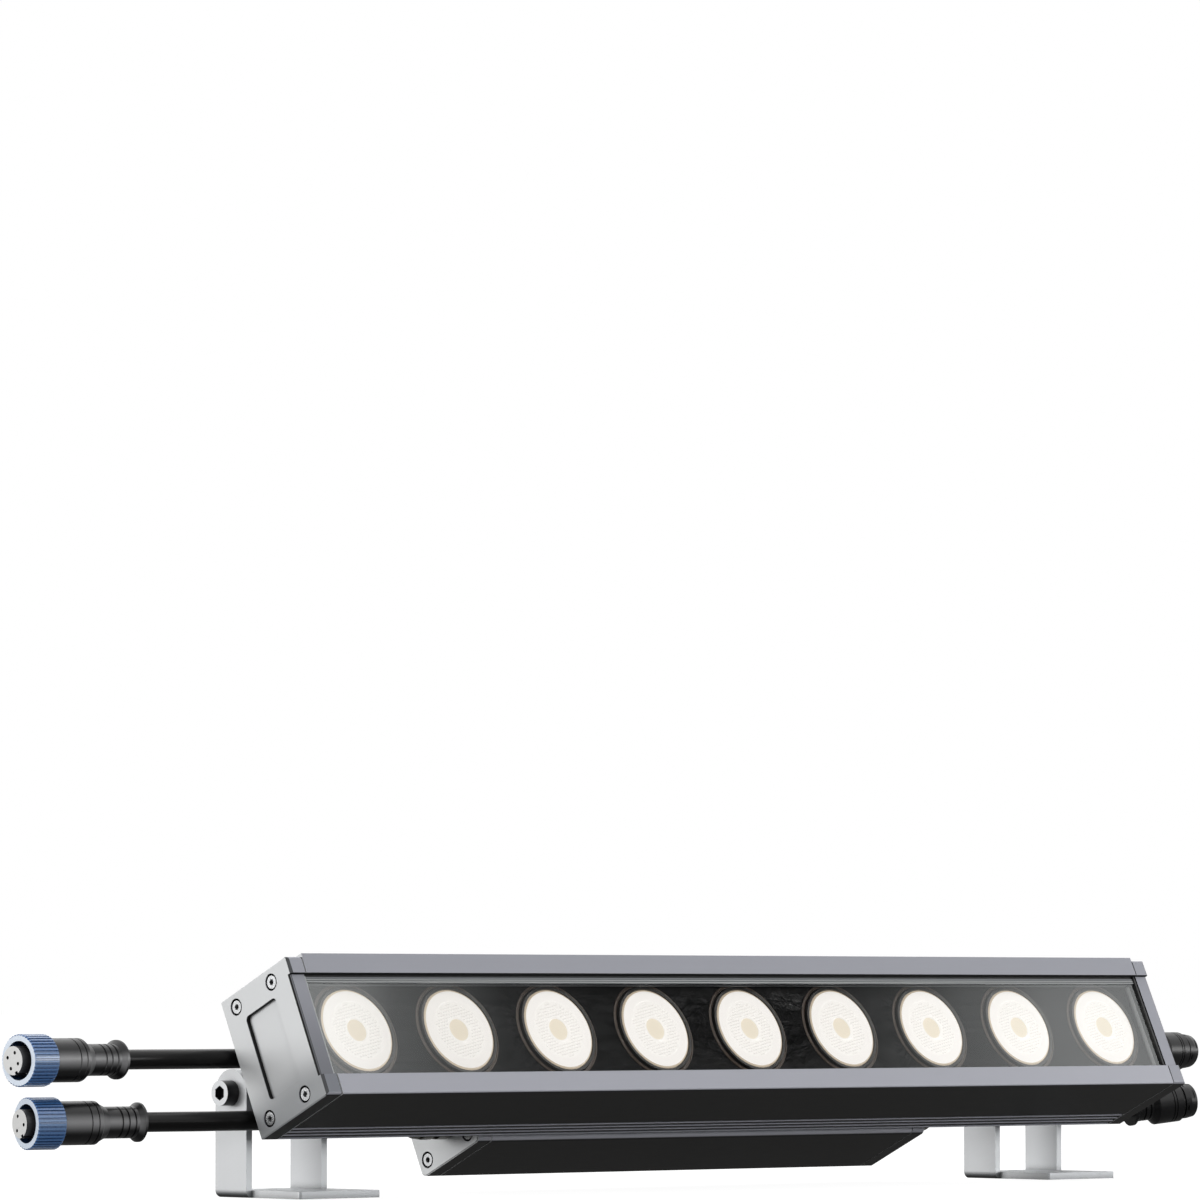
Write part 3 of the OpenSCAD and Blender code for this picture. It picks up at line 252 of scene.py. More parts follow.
def within(tree, along, facing, tests):
    """A mask from tests of place in mm, such as x, or of direction, such as facing_x.

    Each test is a measure and the two values between which the mask rises from 0 to 1.
    A measure that begins with abs_ is taken without its sign.
    """
    mask = None
    for measure, low, high in tests:
        by_direction = "facing" in measure
        value = part_of(tree, facing if by_direction else along, measure[-1].upper())
        if measure.startswith("abs_"):
            value = maths(tree, "ABSOLUTE", value)
        unit = 1 if by_direction else MM
        rise = step(tree, value, low * unit, high * unit)
        mask = rise if mask is None else maths(tree, "MULTIPLY", mask, rise)
    return mask


def grain(tree, along, scale, detail=4.0, stretch=(1, 1, 1)):
    """Noise at a scale in cells per metre, drawn out along an axis by its stretch."""
    mapped = add(tree, "ShaderNodeMapping", {
        "Vector": along, "Scale": tuple(1 / s for s in stretch),
    })
    made = add(tree, "ShaderNodeTexNoise", {
        "Vector": mapped.outputs["Vector"], "Scale": scale, "Detail": detail, "Roughness": 0.6,
    })
    return made.outputs["Fac"]


def creases(tree, colour, depth, reach):
    """The colour with painted shade, darker in recesses and seams, up to a reach in mm."""
    shade = add(tree, "ShaderNodeAmbientOcclusion", {"Distance": reach * MM}, samples=8)
    open_share = ramp(tree, shade.outputs["AO"], [(0.25, depth), (0.85, 1.0)])
    made = add(tree, "ShaderNodeMix", data_type="RGBA", blend_type="MULTIPLY")
    for name, value in (("A_Color", colour), ("B_Color", open_share)):
        tree.links.new(value, next(s for s in made.inputs if s.identifier == name))
    next(s for s in made.inputs if s.identifier == "Factor_Float").default_value = 1
    return next(s for s in made.outputs if s.identifier == "Result_Color")


def surface(name, base, roughness, metallic=0.0, specular=0.5, scale=900, stretch=(1, 1, 1),
            vary=0.06, mottle=0.05, rough_vary=0.06, bump=0.1, zones=(), crease_shade=None, reach=2.5,
            coat=0.0, coat_rough=0.25, emission=None, strength=0.0, glow_zones=()):
    """A finish with fine grain, slow mottling, uneven gloss, relief and painted shade in creases.

    Each zone is a colour and the tests of the places that have it, laid over those before.
    """
    material, tree, output, along, facing = start(name)
    fine = grain(tree, along, scale, 5, stretch)
    slow = grain(tree, along, 28, 2)
    wave = maths(tree, "ADD", maths(tree, "MULTIPLY", fine, vary / (vary + mottle)),
                 maths(tree, "MULTIPLY", slow, mottle / (vary + mottle)))
    spread = vary + mottle

    def uneven(tone):
        return blend(tree, wave, scaled(tone, 1 - spread), scaled(tone, 1 + spread))

    colour = uneven(base)
    for tone, tests in zones:
        colour = blend(tree, within(tree, along, facing, tests), colour, uneven(tone))
    # Painted shade: the colour darkened in recesses and seams, where shade falls.
    if crease_shade is not None:
        colour = creases(tree, colour, crease_shade, reach)
    shader = add(tree, "ShaderNodeBsdfPrincipled", {
        "Base Color": colour, "Metallic": metallic, "Specular IOR Level": specular,
        "Coat Weight": coat, "Coat Roughness": coat_rough,
        "Roughness": maths(
            tree, "ADD", roughness - rough_vary, maths(tree, "MULTIPLY", fine, 2 * rough_vary)
        ),
    })
    relief = add(tree, "ShaderNodeBump", {
        "Strength": bump, "Distance": 0.15 * MM, "Height": fine,
    })
    tree.links.new(relief.outputs["Normal"], shader.inputs["Normal"])
    if emission:
        glow = emission
        for tone, tests in glow_zones:
            glow = blend(tree, within(tree, along, facing, tests), glow, tone)
        if glow_zones:
            tree.links.new(glow, shader.inputs["Emission Color"])
        else:
            shader.inputs["Emission Color"].default_value = (*emission, 1)
        shader.inputs["Emission Strength"].default_value = strength
    tree.links.new(shader.outputs["BSDF"], output.inputs["Surface"])
    return material


def pane(name):
    """Flat clear glass: what lies behind, a faint tint and what its face mirrors."""
    material, tree, output, along, facing = start(name)
    clear = add(tree, "ShaderNodeBsdfTransparent", {"Color": (0.98, 0.98, 0.975, 1)})
    smear = grain(tree, along, 60, 3)
    mirror = add(tree, "ShaderNodeBsdfGlossy", {
        "Color": (0.97, 1, 1, 1),
        "Roughness": maths(tree, "MULTIPLY", smear, 0.03),
    })
    bounce = add(tree, "ShaderNodeFresnel", {"IOR": 1.8})
    back = add(tree, "ShaderNodeNewGeometry")
    share = maths(tree, "MULTIPLY", bounce.outputs["Fac"],
                  maths(tree, "SUBTRACT", 1.0, back.outputs["Backfacing"]))
    mixed = add(tree, "ShaderNodeMixShader", {"Fac": share})
    tree.links.new(clear.outputs["BSDF"], mixed.inputs[1])
    tree.links.new(mirror.outputs["BSDF"], mixed.inputs[2])
    tree.links.new(mixed.outputs["Shader"], output.inputs["Surface"])
    return material


# Finishes, with light and shade painted into some of them

LONG = (40, 1, 1)
GREY = (0.355, 0.362, 0.403)
# Painted light: a pale tone for the end faces, as if lit from the side.
PAINTED_LIT_PALE = (0.66, 0.67, 0.675)
# Painted shade: near-black for downward faces.
SHADED = (0.012, 0.012, 0.011)
# Painted shade: near-black for walls of pockets, bores and recesses.
DEEP_SHADE = (0.002, 0.002, 0.002)
# Painted shade: a dark tone for the bevels along the front edges of the ends.
BEVEL_SHADE = (0.06, 0.062, 0.066)
ENDWAYS = ("abs_facing_x", 0.9, 0.97)
NOT_ENDWAYS = ("abs_facing_x", 0.5, 0.3)
DOWNWARD = ("facing_z", -0.8, -0.95)
FRONT_EDGE = [("abs_facing_x", 0.35, 0.5), ("abs_facing_x", 0.8, 0.7), ("y", -56.5, -57.2)]


def sunk(face, deep):
    """The tests of places below an end plate's outer face and no further than so deep, in mm."""
    soft = 0.3
    floor_end = face - deep - soft
    return [("abs_x", face, face - soft), ("abs_x", floor_end - soft, floor_end)]


# Painted shade: the left end darker towards the bottom.
LEFT_LOW_SHADE = [("x", 0, -9), ("z", 85, 5)]
END_SUNK = sunk(334.5, 4.2)
# Painted shade: the end plate's pocket walls black.
POCKET_WALL_SHADE = [
    (DEEP_SHADE, sunk(334.8, 2.6) + [NOT_ENDWAYS, ("y", -45, -44), ("y", -13, -14),
                               ("z", 14, 15), ("z", 66, 65)]),
]
# Painted shade: black in the counterbores round the end cap screws.
COUNTERBORE_SHADE = [
    (DEEP_SHADE, END_SUNK + [("y", -58.4, -58), ("y", -0.8, -1.2), *ends])
    for ends in ([("z", 0.9, 1.3), ("z", 14, 13)], [("z", 66, 67), ("z", 79.1, 78.7)])
]
# Painted shade: black in the screw bores of the driver's end plates.
DRIVER_BORE_SHADE = [
    (DEEP_SHADE, sunk(174.3, 4.2) + [("y", 8.8, 9.3), ("y", 61.5, 60.9), *ends])
    for ends in ([("z", 0.9, 1.3), ("z", 14, 13)], [("z", 66, 67), ("z", 79.1, 78.7)])
]
ANODISED = surface(
    "anodised_extrusion", GREY, 0.5, metallic=0.15, specular=0.2, scale=2600, stretch=LONG,
    vary=0.03, mottle=0.02, bump=0.05, zones=[
        # Painted light: the lower rail lighter, and lighter still towards the right end.
        ((0.405, 0.412, 0.458), [("z", 14, 12)]),
        ((0.445, 0.453, 0.5), [("z", 14, 12), ("x", 60, 330)]),
        # Painted shade: the underside near-black.
        (SHADED, [DOWNWARD]),
        # Painted shade: the recess walls inside the window, between the rails, black.
        (DEEP_SHADE, [("y", -58.95, -58.6), ("y", -38, -42), ("z", 10.6, 11.2), ("z", 71.2, 70.6)]),
        # Painted light: the end faces pale.
        (PAINTED_LIT_PALE, [ENDWAYS]),
    ],
)
MACHINED, DRIVER_PLATE = (
    surface(
        name, GREY, 0.48, metallic=0.15, specular=0.2, scale=2200, vary=0.025, mottle=0.015,
        bump=0.04, crease_shade=0.2, zones=[
            # Painted shade on the underside and painted light on the end faces.
            (SHADED, [DOWNWARD]), (PAINTED_LIT_PALE, [("abs_facing_x", 0.6, 0.69)]), *more,
        ],
    )
    for name, more in (
        ("machined_plate", [
            # Painted shade: the left end face darker towards the bottom, the left lower front block
            # darker, and the bevels dark.
            ((0.38, 0.39, 0.4), [("abs_facing_x", 0.6, 0.69), ("x", 0, -9), ("z", 30, 8)]),
            ((0.2, 0.21, 0.235), [*LEFT_LOW_SHADE, ("y", -58.7, -58.9), ("z", 13, 12)]),
            (BEVEL_SHADE, FRONT_EDGE), *POCKET_WALL_SHADE, *COUNTERBORE_SHADE,
        ]),
        ("driver_plate", DRIVER_BORE_SHADE),
    )
)
BAR = surface(
    "anodised_bar", GREY, 0.48, metallic=0.15, specular=0.2, scale=2600, stretch=(1, 1, 40),
    vary=0.03, mottle=0.02, bump=0.05, crease_shade=0.35, zones=[
        # Painted shade: the left bar darker towards the bottom, the bevel dark, and black on the
        # faces behind the bar's front and on its inner ends.
        ((0.17, 0.175, 0.195), LEFT_LOW_SHADE), (BEVEL_SHADE, FRONT_EDGE), (DEEP_SHADE, [("y", -56.9, -56.6)]),
        (DEEP_SHADE, [ENDWAYS, ("abs_x", 330, 328)]),
    ],
)
LUG = surface(
    "anodised_dark", (0.08, 0.082, 0.086), 0.5, metallic=0.2, specular=0.3, scale=2600,
    vary=0.05, mottle=0.03, bump=0.05, crease_shade=0.3,
)
PLATE = surface(
    "satin_sheet", (0.47, 0.485, 0.5), 0.4, metallic=0.35, specular=0.4, scale=2400,
    # Painted shade in creases that reaches far, for the shadow round the bolt heads on the arms.
    stretch=(1, 30, 1), vary=0.04, mottle=0.02, bump=0.06, crease_shade=0.25, reach=7, zones=[
        # Painted light: the side faces pale. Painted shade: the downward faces dark.
        ((0.62, 0.63, 0.64), [ENDWAYS]), ((0.1, 0.1, 0.1), [("facing_z", -0.4, -0.8)]),
    ],
)
BLACK_METAL = surface(
    "black_oxide", (0.02, 0.02, 0.021), 0.34, metallic=0.6, specular=0.5, scale=3000,
    vary=0.15, mottle=0.1, bump=0.12, crease_shade=0.3,
)
BOLT_FACE = -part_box("left_pivot_bolt")[0][0] / MM
# Painted light: the head's end face pale, as if lit from the side; the rest black.
LIT_FACE_BOLT = surface(
    "bolt_painted_lit_face", (0.01, 0.01, 0.011), 0.36, metallic=0.5, specular=0.4, scale=3000,
    vary=0.08, mottle=0.05, bump=0.06, zones=[
        ((0.64, 0.65, 0.66), [ENDWAYS, ("abs_x", BOLT_FACE - 1, BOLT_FACE - 0.5)]),
    ],
)
BRIGHT_METAL = surface(
    "bright_stainless", (0.72, 0.73, 0.74), 0.26, metallic=0.9, scale=3000,
    # Painted shade: the crease shade goes near-black, for the screws' sockets and the rings round
    # their heads.
    vary=0.05, mottle=0.03, bump=0.06, crease_shade=0.03,
)
# Painted shade: the nickel far darker than its own tone, for the shade under the housing.
NICKEL_IN_SHADE = surface(
    "nickel_plate_painted_shade", (0.085, 0.082, 0.07), 0.2, metallic=1.0, scale=2600,
    vary=0.06, mottle=0.05, bump=0.06, crease_shade=0.2,
)
RUBBER = surface(
    "black_rubber", (0.022, 0.022, 0.024), 0.62, specular=0.35, scale=3500,
    vary=0.2, mottle=0.1, bump=0.25,
)
SEAL = surface(
    "silicone_seal", (0.24, 0.252, 0.27), 0.38, specular=0.5, scale=3000,
    vary=0.06, mottle=0.05, bump=0.05, crease_shade=0.25, reach=1.2, zones=[
        # Painted highlight: the foremost ribs lighter.
        ((0.46, 0.48, 0.48), [("y", -55.75, -55.85)]),
        # Painted shadow: a dark band under the top rail.
        ((0.04, 0.042, 0.044), [("z", 68.9, 69.15)]),
        # Painted shade: the lower side near-black along its length.
        ((0.012, 0.012, 0.013), [("z", 20, 18), ("abs_x", 323.4, 323.2)]),
        # Painted shade: the right end near-black.
        ((0.008, 0.008, 0.009), [("x", 322, 323.2)]),
    ],
)
MASK = surface(
    "mask_satin", (0.008, 0.008, 0.009), 0.5, specular=0.2, scale=2800,
    vary=0.12, mottle=0.08, bump=0.03,
)
BEZEL = surface(
    "mask_ring", (0.085, 0.06, 0.045), 0.3, specular=0.5, scale=2000,
    vary=0.1, mottle=0.08, bump=0.03,
)
HOLDER = surface(
    "moulded_dark", (0.014, 0.013, 0.013), 0.32, scale=2000, vary=0.05, mottle=0.05, bump=0.03,
)
BOARD = surface(
    "white_mask", (0.74, 0.76, 0.73), 0.4, scale=1800, vary=0.03, mottle=0.03, bump=0.08,
)
EMITTER = surface(
    "phosphor", (0.85, 0.76, 0.42), 0.55, scale=2600, vary=0.08, mottle=0.04, bump=0.2,
)
# Painted shade: the lens glow dimmer towards both ends, most at the left end.
END_GLOW_SHADE = [((0.76, 0.73, 0.7), [("x", -120, -300)]), ((0.88, 0.85, 0.82), [("x", 120, 300)])]
LENS_GLOW = surface(
    "lens_body", (0.4, 0.39, 0.375), 0.22, specular=0.4, scale=1200, vary=0.01, mottle=0.02,
    bump=0.02, emission=(1.0, 0.965, 0.935), strength=0.76, glow_zones=END_GLOW_SHADE,
)
LENS_CENTRE = surface(
    "lens_centre", (0.38, 0.35, 0.29), 0.3, specular=0.4, scale=1500, vary=0.015, mottle=0.02,
    bump=0.02, emission=(1.0, 0.9, 0.74), strength=0.66, glow_zones=[
        # Painted shade: the centre's glow dimmer towards both ends.
        ((0.72, 0.63, 0.5), [("x", -120, -300)]), ((0.86, 0.77, 0.62), [("x", 120, 300)]),
    ],
)
# Painted shade: a dimmer copy of the lens finish for the cells' lower sides.
LENS_CELL_SHADE = surface(
    "lens_cell_painted_shade", (0.36, 0.35, 0.33), 0.25, specular=0.4, scale=1500, vary=0.01, mottle=0.02,
    bump=0.02, emission=(1.0, 0.955, 0.915), strength=0.56, glow_zones=END_GLOW_SHADE,
)
LENS_EDGE = surface(
    "lens_edge", (0.3, 0.25, 0.19), 0.3, specular=0.4, scale=1500, vary=0.02, mottle=0.02,
    bump=0.02, emission=(1.0, 0.84, 0.64), strength=0.4,
)
POTTING = surface(
    "cast_resin", (0.15, 0.2, 0.18), 0.3, scale=700, vary=0.1, mottle=0.15, bump=0.15,
)
LEAD = surface(
    "lead_jacket", (0.28, 0.09, 0.07), 0.45, scale=2600, vary=0.08, mottle=0.05, bump=0.12,
)
# Painted highlight: a band on round faces that look level towards the front.
HIGHLIGHT_BAND = [("facing_z", -0.85, -0.42), ("facing_z", 0.1, -0.38), ("facing_y", -0.1, -0.5)]
JACKET = surface(
    "cable_jacket", (0.004, 0.0037, 0.0037), 0.3, specular=0.16, scale=1800,
    stretch=(12, 1, 1), vary=0.18, mottle=0.1, bump=0.06,
)
CONNECTOR = surface(
    "moulded_black", (0.004, 0.004, 0.0045), 0.34, specular=0.22, scale=1500,
    vary=0.05, mottle=0.03, rough_vary=0.03, bump=0.02, coat=0.1, zones=[
        # Painted highlight along the middle of the left sockets.
        ((0.27, 0.27, 0.275), [*HIGHLIGHT_BAND, ("x", -400, -408)]),
    ],
)
INSERT = surface(
    "moulded_pale", (0.68, 0.68, 0.67), 0.42, scale=1800, vary=0.02, mottle=0.02, bump=0.06,
    # Painted shade: the inserts' sides near-black, and deep shade in their holes.
    crease_shade=0.05, zones=[((0.02, 0.02, 0.021), [("abs_facing_x", 0.7, 0.5)])],
)
COUPLING = surface(
    "moulded_blue", (0.06, 0.17, 0.42), 0.28, specular=0.6, scale=1700, coat=0.5,
    vary=0.08, mottle=0.06, bump=0.05, crease_shade=0.06, reach=5, zones=[
        # Painted highlight along the middle of the couplings.
        ((0.17, 0.29, 0.52), HIGHLIGHT_BAND),
        # Painted light: the upper coupling's end rim near-white.
        ((0.7, 0.78, 0.9), [ENDWAYS, ("x", -460, -463)]),
    ],
)
GLASS = pane("front_glass")

FINISH = {
    ANODISED: ["housing", "driver_case", "driver_spacers"],
    LUG: ["left_pivot_block", "right_pivot_block"],
    MACHINED: ["left_end_cap", "right_end_cap"],
    DRIVER_PLATE: ["driver_left_cap", "driver_right_cap"],
    BAR: ["left_end_bar", "right_end_bar"],
    PLATE: ["left_bracket", "right_bracket", "left_welded_arm", "right_welded_arm"],
    LIT_FACE_BOLT: ["left_pivot_bolt", "right_pivot_bolt"],
    BLACK_METAL: ["pivot_nuts", "pivot_washers", "pivot_block_screws", "driver_mount_screws"],
    BRIGHT_METAL: ["end_cap_screws", "board_screws", "slot_nuts", "driver_cap_screws"],
    NICKEL_IN_SHADE: ["gland_bodies", "gland_nuts"],
    RUBBER: ["end_gaskets", "driver_gaskets", "lead_grommet"],
    SEAL: ["glass_gasket"],
    MASK: ["lens_mask"],
    HOLDER: ["lens_holders"],
    BOARD: ["led_board"],
    EMITTER: ["led_emitters"],
    POTTING: ["driver_module"],
    LEAD: ["led_lead"],
    CONNECTOR: ["left_upper_socket", "left_lower_socket", "right_upper_plug",
                "right_lower_plug"],
    INSERT: ["left_upper_insert", "left_lower_insert"],
    COUPLING: ["left_upper_coupling", "left_lower_coupling"],
    GLASS: ["front_glass"],
}


def dress(node, material):
    """Puts the finish on a carried-over part, in place of its plain one."""
    data = NODES[node].data
    data.materials.clear()
    data.materials.append(material)


for finish, names in FINISH.items():
    for node_name in names:
        dress(node_name, finish)
for cable in CABLES:
    cable.data.materials.append(JACKET)


# Lens faces

SHARP = math.radians(38)


def polar(index, radius, angle, height):
    """A point of one lens, by its radius, angle and height in front of the lens plane, in mm."""
    x = LENS_X[index] + radius * math.cos(angle)
    return on_lamp(x, -LENS_FRONT - height, LENS_HEIGHT + radius * math.sin(angle))


def lathe(mesh, index, profile, sides, closed=False):
    """Turns a profile of radius and height pairs round the axis of one lens."""
    rings = []
    for radius, height in profile:
        if radius == 0:
            rings.append([mesh.verts.new(polar(index, 0, 0, height))])
        else:
            rings.append([
                mesh.verts.new(polar(index, radius, math.tau * k / sides, height))
                for k in range(sides)
            ])
    pairs = list(zip(rings, rings[1:]))
    if closed:
        pairs.append((rings[-1], rings[0]))
    faces = []
    for a, b in pairs:
        for k in range(sides):
            n = (k + 1) % sides
            if len(a) == 1:
                corners = (a[0], b[k], b[n])
            elif len(b) == 1:
                corners = (a[k], b[0], a[n])
            else:
                corners = (a[k], b[k], b[n], a[n])
            faces.append(mesh.faces.new(corners))
    return faces


def finish_mesh(mesh, name, materials):
    """Makes the piece, smooth, with its creases kept by angle."""
    bmesh.ops.recalc_face_normals(mesh, faces=mesh.faces)
    for face in mesh.faces:
        face.smooth = True
    data = bpy.data.meshes.new(name)
    mesh.to_mesh(data)
    mesh.free()
    data.set_sharp_from_angle(angle=SHARP)
    for material in materials:
        data.materials.append(material)
    piece = bpy.data.objects.new(name, data)
    bpy.context.scene.collection.objects.link(piece)
    return piece


# Sizes of the lenses in mm, measured in the lamp's own axes
LENS_COUNT = 9
LENS_PITCH = 73
LENS_X = [LENS_PITCH * (i - (LENS_COUNT - 1) / 2) for i in range(LENS_COUNT)]
LENS_HEIGHT = 40.95
LENS_FRONT = 49.8
ROUND = 96
LENS_BODY = [
    (0, -16.8), (6.8, -16.8), (6.8, -21.8), (8.5, -21.8), (12.0, -18.6), (15.2, -15.3),
    (18.0, -12.1), (20.2, -8.9), (21.5, -5.6), (21.95, -2.4), (23.6, -2.4), (23.75, -2.2),
    (23.75, -1.0), (23.6, -0.55), (23.2, -0.2), (22.6, 0), (21, 0.12), (19, 0.2), (17.2, 0.22),
    (16.8, 0.16), (16.6, 0), (7.1, 0), (6.9, 0.12), (6.7, 0.1), (6.5, -0.2), (6.3, -0.38),
    (4, -0.4), (0, -0.4),
]
CENTRE_RADIUS = 6.4
EDGE_INNER, EDGE_OUTER = 22.7, 23.9
CELL = 2.0
CELL_ROW = CELL * 0.866
CELLS_FROM, CELLS_TO = 8.0, 15.7
CELL_ROWS = 10
CELL_TURN = math.radians(12)
CELL_TOP = 0.34
CELL_SHOULDER, SHOULDER_HEIGHT = 0.62, 0.26
CELL_FOOT, FOOT_HEIGHT = 1.12, -0.02
SHADED_SIDES = (3, 4, 5)
BEZEL_PROFILE = [
    (26.2, -2.3), (26.2, -1.75), (26.4, -1.6), (26.8, -1.6), (26.95, -1.8), (27.2, -1.85),
    (27.35, -1.6), (27.8, -1.55), (28.1, -1.75), (28.2, -2.3),
]


def lens_face(index):
    """One lens: its body, a rounded rim, a field of small raised hexagons and a sunk centre."""
    mesh = bmesh.new()
    for face in lathe(mesh, index, LENS_BODY, ROUND):
        reach = (face.calc_center_median() - polar(index, 0, 0, 0)).length / MM
        if reach < CENTRE_RADIUS:
            face.material_index = 1
        elif EDGE_INNER < reach < EDGE_OUTER:
            face.material_index = 3
    for row in range(-CELL_ROWS, CELL_ROWS + 1):
        for column in range(-CELL_ROWS - 1, CELL_ROWS + 2):
            u = (column + 0.5 * (row % 2)) * CELL
            v = row * CELL_ROW
            reach = math.hypot(u, v)
            if not CELLS_FROM < reach < CELLS_TO:
                continue
            around = math.atan2(v, u) + CELL_TURN
            centre = Vector((reach * math.cos(around), reach * math.sin(around)))

            def cell_point(size, k, height):
                spread = CELL_TURN + math.tau * (k + 0.5) / 6
                at = centre + Vector((math.cos(spread), math.sin(spread))) * size
                return mesh.verts.new(
                    polar(index, at.length, math.atan2(at.y, at.x), height)
                )

            top = mesh.verts.new(polar(index, reach, around, CELL_TOP))
            inner = [cell_point(CELL_SHOULDER, k, SHOULDER_HEIGHT) for k in range(6)]
            outer = [cell_point(CELL_FOOT, k, FOOT_HEIGHT) for k in range(6)]
            for k in range(6):
                n = (k + 1) % 6
                mesh.faces.new((top, inner[k], inner[n]))
                slope = mesh.faces.new((inner[k], outer[k], outer[n], inner[n]))
                # Painted shade: the cells' lower sides get the dimmer copy.
                slope.material_index = 2 if k in SHADED_SIDES else 0
    name = f"lens_{index + 1}"
    piece = finish_mesh(mesh, name + "_face", [LENS_GLOW, LENS_CENTRE, LENS_CELL_SHADE, LENS_EDGE])
    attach(piece, "lamp")
    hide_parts(name)


def lens_bezel(index):
    """The thin stepped ring on the mask round one lens."""
    mesh = bmesh.new()
    lathe(mesh, index, BEZEL_PROFILE, ROUND, closed=True)
    piece = finish_mesh(mesh, f"lens_ring_{index + 1}", [BEZEL])
    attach(piece, "lamp")


for lens in range(LENS_COUNT):
    lens_face(lens)
    lens_bezel(lens)


# Mask and glass seal

MASK_FRONT, MASK_BACK = 47.8, 46.4
MASK_HOLE = 26.0
MASK_END = 323.8
MASK_LOW, MASK_HIGH = 9.5, 72.4
SAME_PLACE = 0.002 * MM
NEARLY_NONE = 1e-9


def mask_cell(mesh, centre, left, right, depth):
    """One lens's share of the mask's face at a depth: a rectangle with a round hole."""
    reach = {1: right - centre, -1: centre - left}
    rise = {1: MASK_HIGH - LENS_HEIGHT, -1: LENS_HEIGHT - MASK_LOW}
    turns = {math.tau * k / ROUND for k in range(ROUND)}
    turns |= {
        math.atan2(v * rise[v], u * reach[u]) % math.tau for u in (1, -1) for v in (1, -1)
    }
    inner, outer = [], []
    for turn in sorted(turns):
        u, v = math.cos(turn), math.sin(turn)
        edge = min(
            reach[1 if u > 0 else -1] / max(abs(u), NEARLY_NONE),
            rise[1 if v > 0 else -1] / max(abs(v), NEARLY_NONE),
        )
        for ring, radius in ((inner, MASK_HOLE), (outer, edge)):
            ring.append(mesh.verts.new(
                on_lamp(centre + radius * u, -depth, LENS_HEIGHT + radius * v)
            ))
    for k in range(len(inner)):
        n = (k + 1) % len(inner)
        mesh.faces.new((inner[k], outer[k], outer[n], inner[n]))


def mask():
    """The dark plate with a round hole for each lens, its two faces joined at every edge."""
    mesh = bmesh.new()
    edges = [-MASK_END] + [x + LENS_PITCH / 2 for x in LENS_X[:-1]] + [MASK_END]
    for depth in (MASK_FRONT, MASK_BACK):
        for centre, left, right in zip(LENS_X, edges, edges[1:]):
            mask_cell(mesh, centre, left, right, depth)
    bmesh.ops.remove_doubles(mesh, verts=mesh.verts, dist=SAME_PLACE)
    open_edges = [edge for edge in mesh.edges if edge.is_boundary]
    bmesh.ops.bridge_loops(mesh, edges=open_edges)
    piece = finish_mesh(mesh, "mask_plate", [MASK])
    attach(piece, "lamp")
    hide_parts("lens_mask")


WINDOW_LOW, WINDOW_HIGH = 11.7, 70.2
SEAL_FRONT = 55.7
SEAL_END = 324.6
SEAL_TUCK = 3.1
GLASS_FACE, GLASS_BACK, SEAL_BACK = 0.6, 3.6, 4.2
RAIL_TUCK, BAR_STEP = -2.2, 0.9
GROOVED_LIP = [
    (0, 0), (0.15, 0.35), (1.05, 0.35), (1.15, 0), (2.1, 0), (2.15, 0.2), (2.4, 0.2),
    (2.5, -0.25), (3.1, -0.25), (3.2, 0.2), (3.5, 0.2), (3.6, -0.3), (4.1, -0.3),
    (4.3, -0.05), (4.35, GLASS_FACE),
]
PLAIN_LIP = [(1.5, 0), (1.6, 0.1), (1.6, GLASS_FACE)]
END_LIP = [(0.9, -1.0), (1.2, -0.7), (1.2, GLASS_FACE)]


def seal_strip(mesh, lip, base, ends, place):
    """One side of the seal: a channel that holds the glass edge, with its lip in front."""
    start_u, front = (-SEAL_TUCK, 0) if base < 0 else (0, lip[0][1])
    reach = max(u for u, depth in lip)
    outline = [
        (start_u, front), *lip, (base, GLASS_FACE), (base, GLASS_BACK), (reach, GLASS_BACK),
        (reach, SEAL_BACK), (start_u, SEAL_BACK),
    ]
    rings = [[mesh.verts.new(place(u, depth, end)) for u, depth in outline] for end in ends]
    for k in range(len(outline)):
        n = (k + 1) % len(outline)
        mesh.faces.new((rings[0][k], rings[0][n], rings[1][n], rings[1][k]))
    mesh.faces.new(rings[0])
    mesh.faces.new(reversed(rings[1]))


def seal():
    """The pale seal round the glass, with two ribs along its upper lip."""
    mesh = bmesh.new()
    ends = (-SEAL_END, SEAL_END)
    seal_strip(mesh, GROOVED_LIP, RAIL_TUCK, ends, lambda u, depth, x: on_lamp(
        x, depth - SEAL_FRONT, WINDOW_HIGH - u))
    seal_strip(mesh, PLAIN_LIP, RAIL_TUCK, ends, lambda u, depth, x: on_lamp(
        x, depth - SEAL_FRONT, WINDOW_LOW + u))
    for side in (-1, 1):
        seal_strip(
            mesh, END_LIP, BAR_STEP, (WINDOW_LOW - SEAL_TUCK, WINDOW_HIGH + SEAL_TUCK),
            lambda u, depth, z: on_lamp(side * (SEAL_END - u), depth - SEAL_FRONT, z),
        )
    piece = finish_mesh(mesh, "glass_seal", [SEAL])
    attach(piece, "lamp")
    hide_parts("glass_gasket")


mask()
seal()


# Studio

FLOOR_HALF = 30
FLOOR_TONE, FLOOR_TONE_MIRRORED = (0.3, 0.3, 0.3), (0.08, 0.08, 0.08)
FLOOR_GLOW, MIRRORED_GLOW = 0.93, 0.18


